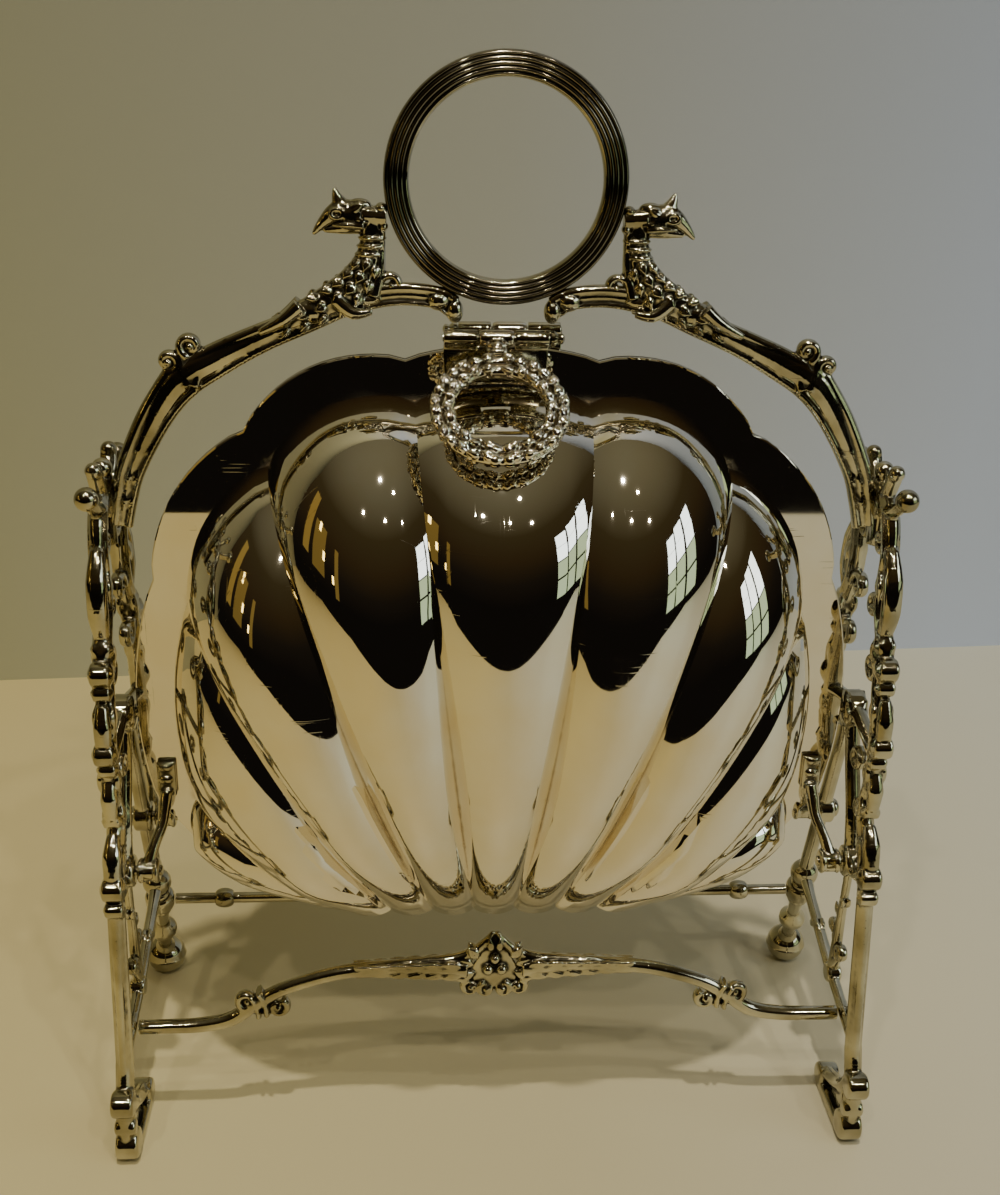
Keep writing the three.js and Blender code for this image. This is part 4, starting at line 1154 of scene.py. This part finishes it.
ball_profile = []
for step in range(25):
    angle = math.pi * step / 24
    ridge = ball_ridge * math.exp(-((angle - math.pi / 2) / 0.05) ** 2)
    ball_profile.append((-ball_radius * math.cos(angle), ball_radius * math.sin(angle) + ridge))
ball_foot = turned("ball_foot", foot_at, foot_at + Vector((0, 0, 1)), ball_profile, 48)
stand(ball_foot)
mirrored(dress(ball_foot, "ball_foot_left", "frame", "rear_foot_left"))


def make_brace():
    parts = [
        *side_curl(-17.6, 47.4, 2.6, -60, 1.2, 1.2, 1.5),
        *side_curl(-8.8, 51.6, 2.4, 200, -1.1, 1.1, 1.5),
        boss(-12.6, 37.0, 2.9, 2.3),
    ]
    parts += [in_frame(points, sizes, (0, share)) for points, sizes, share in (
        ([(-35.6, 32.6), (-22.5, 34.1), (-9.3, 37.4), (14.4, 44.5), (24.4, 47.6)],
         [2.2, 1.7, 1.8, 1.7, 2.2], 1.05),
        ([(-15, 75), (-14.2, 66), (-13.4, 56), (-12.6, 37.6)], [1.4, 1.3, 1.5, 2.0], 1.0),
        ([(-16.4, 45.2), (-14.4, 42.2), (-12.6, 39.0)], [1.2, 1.4, 1.7], 1.0),
        ([(-10.2, 49.8), (-12.4, 47.0), (-13.2, 42.0)], [1.1, 1.2, 1.4], 1.0),
    )]
    for y, z, way in ((-13.8, 62, (0, -0.7, 1)), (-13.6, 58, (0, 0.7, 1)), (-26, 34, (0, -1, 0.5)),
                      (2, 41, (0, 1, 0.9)), (6, 41.6, (0, 1, -0.5)), (-20, 35, (0, -1, -0.5))):
        parts += side_leaves(y, z, 0.9, way, (1.4, 0.9, 6))
    return cast("side_brace_left_casting", parts, 0.34, "frame", "side_brace_left")


mirrored(make_brace())

# Pivot pins: headed rivets through the bosses and the barrels of the shell arms, their heads domed
# and burnished.
for way, end_word in ((-1, "front"), (1, "rear")):
    head_at = Vector(on_frame(way * pivot_out, pivot_up, -3.05))
    pin = turned("pivot_pin", head_at - Vector((2, 0, 0)), head_at + Vector((12, 0, 0)), [
        (0, 0), (0.1, 1.0), (0.5, 2.0), (1.1, 2.75), (1.7, 3.0), (2.0, 3.0), (2.0, 1.5), (15.2, 1.5),
        (15.5, 1.2), (15.5, 0)], 32)
    mirrored(dress(pin, f"{end_word}_pin_left", "frame", f"{end_word}_pivot_pin_left"))

# Front stretcher: one casting, a bar with curled shoulders that rises to a palmette of leaves with
# three berries in its middle and four small curls below. The hollows are painted black with shade.
stretcher_y = -26.5
half_line = [(-103.2, 33.0), (-95, 33.1), (-85.5, 33.4), (-76.2, 35.5), (-68.5, 41.2), (-59.7, 46.3),
             (-43.3, 51.3), (-22.7, 52.6), (-8, 52.2)]
half_size = [2.2, 2.2, 2.3, 2.3, 2.2, 2.1, 2.2, 2.5, 3.4]


def make_stretcher_half(side):
    def at(x, z, out=0.0):
        return (side * -x, stretcher_y + out, z)

    parts = [bar([at(x, z) for x, z in points], sizes, (1, share), steps) for points, sizes, share, steps in (
        (half_line, half_size, 0.95, 7),
        ([(-44, 52.4), (-24, 54.2), (-13, 55.0), (-6.6, 57.2), (-2.6, 61.0), (-0.6, 64.2)],
         [1.0, 1.3, 1.6, 1.6, 1.2, 0.5], 1.0, 7),
        ([(-40, 50.0), (-24, 50.6), (-13, 49.8), (-8.4, 48.4)], [0.9, 1.3, 1.7, 1.6], 1.3, 7),
        ([(-66.0, 37.4), (-66.6, 41.4), (-68.2, 45.2)], [1.2, 0.9, 1.2], 2.5, 6),
        ([(-68.4, 36.4), (-69.0, 40.2), (-70.4, 43.6)], [1.0, 0.8, 1.0], 2.6, 6),
    )]
    for x, z, reach, start, turns, size, flat in (
        (-71.6, 42.0, 2.9, 240, -1.1, 1.25, 1.5), (-62.8, 39.6, 2.9, 60, -1.1, 1.25, 1.5),
        (-2.4, 45.0, 2.4, 100, 1.1, 1.2, 1.8), (-6.9, 45.8, 2.6, 100, 1.1, 1.2, 1.8),
    ):
        parts += curl(at(x, z), reach, start if side < 0 else 180 - start, -turns * side, size, flat)
    for front in (-1, 1):
        face = (0, front, 0)
        for i in range(6):
            share = i / 5
            for lift in (-1, 1):
                root = at(mix(-34, -9, share), 52.2 + lift * (0.5 + 0.9 * share), front * (1.5 + 0.7 * share))
                parts.append(leaf(root, (side, 0, lift * 0.16), face, (0.9 + 0.5 * share, 0.8, 8.0)))
        # the palmette's side
        for x, z, wx, wz, wide, long in (
            (-4.5, 55.5, 0.75, 1.0, 1.7, 6.5), (-5.8, 53.4, 1.0, 0.45, 1.6, 6.0),
            (-5.6, 50.8, 1.0, -0.25, 1.6, 5.5), (-1.0, 57.6, 0.10, 1.0, 1.1, 6.0),
        ):
            parts.append(leaf(at(x, z, front * 1.2), (side * wx, 0, wz), face, (wide, 1.1, long)))
        parts.append(bead(at(-2.0, 52.2, front * 1.5), 1.6))
    return parts


def make_stretcher():
    parts = make_stretcher_half(-1) + make_stretcher_half(1)
    for front in (-1, 1):
        parts.append(bead((0, stretcher_y + front * 1.4, 55.8), 1.5))
    ground = [(0, stretcher_y, z) for z in (45.6, 52, 57, 61, 64.4)]
    parts.append(bar(ground, [7.4, 7.2, 4.2, 1.6, 0.5], (1, 0.14)))
    cast("front_stretcher_casting", parts, 0.33, "frame", "front_stretcher")


make_stretcher()

# Rear stretcher: a plain drawn rod of silver with two turned knops. Its ends are held in the collars
# of the rear legs.
knop_x = 84.7
knop_half = 3
knop_rise = 1.5
rod_half = 100.4
rod_radius = 1.7
rod_profile = [(0, 0), (0, rod_radius)]
for middle in (rod_half - knop_x, rod_half + knop_x):
    for step in range(9):
        angle = math.pi * step / 8
        rod_profile.append((middle - knop_half * math.cos(angle), rod_radius + knop_rise * math.sin(angle)))
rod_profile += [(2 * rod_half, rod_radius), (2 * rod_half, 0)]
rear_rod = turned("rear_rod", (-rod_half, *collar_at.yz), (rod_half, *collar_at.yz), rod_profile, 32)
dress(rear_rod, "rear_rod", "frame", "rear_stretcher")

# Fittings of each shell, made once for the front one and turned round for the rear one: two S-bent
# arms riveted behind the flange that end in the pivot barrels, and a hinge of drawn tube on the
# top of the flange.
arm_x = 94.3
arm_z = 102
tab_y = -2.7
barrel_in = -95.75
barrel_out = -102.0


def drum(start, end, radius, lip):
    """A short drum between two points, with its edges taken off."""
    long = (Vector(end) - Vector(start)).length
    edge = [(0, 0), (0, radius - lip), (lip * 0.3, radius - lip * 0.3), (lip, radius)]
    return turned("drum", start, end, edge + [(long - along, reach) for along, reach in reversed(edge)])


def barrel(start, end, radius, lip):
    """A drum on the pivot line of the front shell."""
    return drum((start, -pivot_out, pivot_up), (end, -pivot_out, pivot_up), radius, lip)


def turned_round(piece):
    """The same fitting on the rear shell."""
    return twin(piece, "front", "rear", Matrix.Rotation(math.pi, 4, "Z"))


def make_arm():
    parts = [slab((-arm_x, tab_y, arm_z), (5.4, 1.7, 11), 0.5)]
    for height in (4.0, 0.0, -3.8):
        parts.append(bead((-arm_x, tab_y - 0.8, arm_z + height), (1.9, 1.0, 1.35)))
    parts.append(bar([
        (-arm_x, -3.9, 98.6), (-arm_x - 0.6, -5.6, 94.6), (-arm_x - 1.2, -8.2, 90.2),
        (-arm_x - 3.0, -11.6, 86.0), (-arm_x - 4.4, -14.4, 81.8), (-98.8, -pivot_out, pivot_up)],
        [1.8, 1.9, 1.6, 1.6, 1.9, 2.3]))
    parts.append(barrel(barrel_in, barrel_out, 3.3, 0.6))
    for ridge in (-96.6, -101.2):
        parts.append(barrel(ridge - 0.5, ridge + 0.5, 3.65, 0.4))
    return cast("front_arm_left_casting", parts, 0.3, "front_shell", "front_arm_left")


arm_left = make_arm()
for arm in (arm_left, mirrored(arm_left)):
    turned_round(arm)

hinge_x = -2.0
hinge_y = -5.4
hinge_z = 231.0
hinge_wide = 27.0
hinge_left = hinge_x - hinge_wide / 2
hinge_right = hinge_left + hinge_wide
knuckle_wide = hinge_wide / 3
knuckle_radius = 2.1
bore = 1.25
play = 0.4


def on_hinge(name, start, end, profile, segments=40):
    """A turned piece that lies on the line of the hinge."""
    return turned(name, (start, hinge_y, hinge_z), (end, hinge_y, hinge_z), profile, segments)


def knuckle(start, end):
    """A rolled tube of the hinge: open ends, rounded lips."""
    lip = [(0, bore), (0, knuckle_radius - 0.3), (0.1, knuckle_radius - 0.1), (0.3, knuckle_radius)]
    other_lip = [(end - start - along, reach) for along, reach in reversed(lip)]
    return on_hinge("knuckle", start, end, [*lip, *other_lip, lip[0]])


def make_hinge():
    parts = [
        knuckle(hinge_left, hinge_left + knuckle_wide - play),
        knuckle(hinge_right - knuckle_wide + play, hinge_right),
        slab((hinge_x, -2.55, 223.6), (hinge_wide, 1.3, 9.4), 0.3),
    ]
    for middle in (hinge_left + (knuckle_wide - play) / 2, hinge_right - (knuckle_wide - play) / 2):
        parts.append(slab((middle, -3.6, 228.9), (knuckle_wide - play, 2.0, 2.6), 0.4))
    for x in (hinge_left + 3.2, hinge_right - 3.2):
        parts.append(bead((x, -3.2, 222.4), (1.2, 0.55, 1.2)))
    return dress(joined(parts), "front_hinge_leaf", "front_shell", "front_hinge_plate")


turned_round(make_hinge())
hinge_pin = on_hinge("hinge_pin", hinge_left - 0.3, hinge_right + 4, [
    (0, 0), (0, 0.9), (27.5, 0.9), (27.5, 1.2), (27.8, 1.9), (28.6, 2.0), (29.2, 1.5), (29.6, 1.1),
    (30.2, 1.4), (30.8, 1.35), (31.3, 0.7), (31.4, 0)], 32)
turned_round(dress(hinge_pin, "front_hinge_rod", "front_shell", "front_hinge_pin"))

# Wreath pulls: a laurel wreath bound in two rows of pointed leaves that meet at four berries below.
# It hangs by a chased strap from the middle knuckle of the hinge and lies on the shell's shoulder.
# The dark colour is painted shade in the hollows of the leaves.
bright_casting = silver_finish(
    "bright_cast_silver", bright=(0.80, 0.76, 0.64), warm=(0.62, 0.54, 0.36), dark=(0.05, 0.038, 0.018),
    reach=(0.53, 0.68), patches=0.7, clean=0.05, smeared=0.14, smear_size=90, depth=0.25, crowding=0.5)
wreath_radius = 14.4
wreath_lean = math.radians(-55)
wreath_drop = 23.7
leafless = 0.17
splay = 0.42
hang = Matrix.Translation(Vector((hinge_x, hinge_y, hinge_z)) * mm) @ Matrix.Rotation(wreath_lean, 4, "X")


def cast_hung(name, parts, node):
    """A casting modelled straight below the hinge, then leaned against the shell."""
    for part in parts:
        part.data.transform(hang)
    piece = cast(name, parts, 0.24, "front_wreath", node, fettle=1, material=bright_casting)
    turned_round(piece)


def make_wreath():
    parts = []
    for strand, leaves, size in ((wreath_radius + 1.5, 14, 1.55), (wreath_radius - 1.6, 11, 1.5)):
        core = []
        for i in range(37):
            angle = 2 * math.pi * i / 36
            core.append((strand * math.sin(angle), 0, -wreath_drop + strand * math.cos(angle)))
        parts.append(bar(core, [1.55, 1.55], (1, 0.75), 1))
        for side in (-1, 1):
            for i in range(leaves):
                angle = math.pi - side * (leafless + (math.pi - leafless) * i / leaves)
                out = Vector((math.sin(angle), 0, math.cos(angle)))
                ahead = Vector((math.cos(angle), 0, -math.sin(angle))) * -side
                middle = Vector((0, 0, -wreath_drop)) + out * strand
                outwards = out * (splay if i % 2 else -splay)
                for face in (Vector((0, -1, 0)), Vector((0, 1, 0))):
                    root = middle - outwards * 1.4 + face * 0.6 - ahead * 1.2
                    parts.append(leaf(root, ahead + outwards + face * 0.22, face, (size, 1.35, 4.8)))
                parts.append(bead(middle + outwards * 2.4 + ahead * 1.6, (0.7, 0.9, 0.7)))
    for x in (-1.7, 1.7):
        for reach in (-1.6, 1.6):
            for front in (-0.5, 0.5):
                parts.append(bead((x, front, -wreath_drop - wreath_radius + reach), (1.65, 1.3, 1.65)))
    cast_hung("front_wreath_casting", parts, "front_wreath")


def make_strap():
    parts = [
        own_copy(boss_pattern, (0, 0, 0), (knuckle_wide / 2, knuckle_radius, knuckle_radius)),
        upright([(0, -1), (0, -4), (0, -6.8)], [3.4, 3.1, 3.4], 0.32),
        bead((0, -1.1, -3.4), (1.5, 0.9, 1.5)), bead((0, -1.2, -5.8), (2.6, 0.9, 0.9)),
    ]
    for petal in range(6):
        angle = petal * math.pi / 3
        way = (math.cos(angle), 0, math.sin(angle))
        parts.append(leaf((0, -1.0, -3.4), way, (0, -1, 0), (0.9, 0.8, 2.8)))
    cast_hung("front_pull_casting", parts, "front_pull_strap")


make_wreath()
make_strap()

# Grilles: a gilt plate pierced with leaf shapes that lies inside each shell and keeps the biscuits
# in. It turns on a rod through two soldered lugs and is lifted by a small turned knob.
# The dark colour is painted shade in the grille's hollows.
gilt = silver_finish(
    "worn_gilt", bright=(0.84, 0.62, 0.28), warm=(0.78, 0.66, 0.42), dark=(0.20, 0.11, 0.03),
    reach=(0.52, 0.70), patches=0.8, clean=0.12, smeared=0.28, smear_size=60, depth=0.3, crowding=0.6)
grille_y = -6.0
grille_z = 76.0
grille_foot_z = grille_z + 2.2
grille_foot_half = 54
grille_inset = 4.4
grille_fan = Vector((0, fan_up))
roll_half = 29.2
grille_rod_half = 34.5
knob_z = 196


def leaf_outline(root, tip, half):
    way = tip - root
    out = Vector((-way.y, way.x)).normalized()
    points = []
    for i in range(20):
        turn = 2 * math.pi * i / 20
        share = 0.5 - 0.5 * math.cos(turn)
        points.append(root + way * share + out * math.sin(turn) * half * (0.55 + 0.45 * share))
    return points


def inset(column):
    """A point of the grille's outline, just inside the rim of the shell's sheet."""
    rim = column[-1] / mm
    spot = Vector((rim.x, rim.z))
    return spot + (grille_fan - spot).normalized() * grille_inset


def make_grille():
    columns = shell_columns()
    outline = [inset(column) for column in columns[lobe_steps:len(columns) - lobe_steps]]
    outline += [Vector((grille_foot_half, grille_foot_z)), Vector((-grille_foot_half, grille_foot_z))]
    loops = [outline]
    for k in range(1, lobes - 1):
        tip = inset(columns[k * lobe_steps + lobe_steps // 2])
        root = Vector((tip.x * 0.35, grille_foot_z))
        for start, end in ((0.14, 0.42), (0.46, 0.70), (0.745, 0.94)):
            loops.append(leaf_outline(root.lerp(tip, start), root.lerp(tip, end), 8 * end * 0.62))
    curve = bpy.data.curves.new("grille", "CURVE")
    curve.dimensions = "2D"
    curve.fill_mode = "BOTH"
    curve.extrude = 0.42 * mm
    curve.bevel_depth = 0.18 * mm
    curve.bevel_resolution = 2
    for loop in loops:
        draw(curve, [(point.x * mm, point.y * mm, 0) for point in loop]).use_cyclic_u = True
    plate_piece = made_solid(curve)
    place = Matrix.Translation((0, grille_y * mm, 0)) @ Matrix.Rotation(math.radians(90), 4, "X")
    plate_piece.data.transform(place)
    edit_all()
    close_seams(2 * weld)
    rolled = turned("rolled_edge", (-roll_half, grille_y, grille_z), (roll_half, grille_y, grille_z), [
        (0, 1.2), (0, 1.7), (0.2, 1.9), (58.2, 1.9), (58.4, 1.7), (58.4, 1.2), (0, 1.2)], 32)
    web = slab((0, grille_y, grille_foot_z), (2 * roll_half, 1.2, 3.0), 0.2)
    piece = joined([plate_piece, rolled, web])
    return dress(piece, "front_grille_plate", "front_grille", "front_grille", "grille_metal", gilt)


turned_round(make_grille())
knob = turned("grille_knob", (0, -5.1, knob_z), (0, -1.0, knob_z), [
    (0, 0), (0, 1.6), (0.4, 1.6), (0.8, 0.8), (1.6, 0.7), (2.2, 1.1), (2.8, 1.5), (3.3, 1.2), (3.7, 0.6),
    (3.8, 0)], 32)
turned_round(dress(knob, "front_knob", "front_grille", "front_grille_knob", "grille_metal", gilt))
grille_rod = turned(
    "grille_rod", (-grille_rod_half, grille_y, grille_z), (grille_rod_half, grille_y, grille_z),
    [(0, 0), (0, 0.7), (0.2, 0.9), (68.8, 0.9), (69, 0.7), (69, 0)], 24)
turned_round(dress(grille_rod, "front_grille_rod", "front_shell", "front_grille_pin"))

for x, word in ((-32, "left"), (32, "right")):
    lug_parts = [
        drum((x - 2.5, grille_y, grille_z), (x + 2.5, grille_y, grille_z), 1.9, 0.3),
        slab((x, grille_y - 1.9, 72.6), (5, 3.4, 6.8), 0.5),
        slab((x, grille_y - 1.9, 70.0), (6.2, 4.4, 1.4), 0.4),
    ]
    turned_round(cast(f"front_lug_{word}", lug_parts, 0.25, "front_shell", f"front_grille_lug_{word}"))

# Each solid that a piece stands for has plain cast silver, and the patterns are put away.
for node in nodes.values():
    node.data.materials.clear()
    node.data.materials.append(casting)
for pattern in patterns:
    bpy.data.objects.remove(pattern)
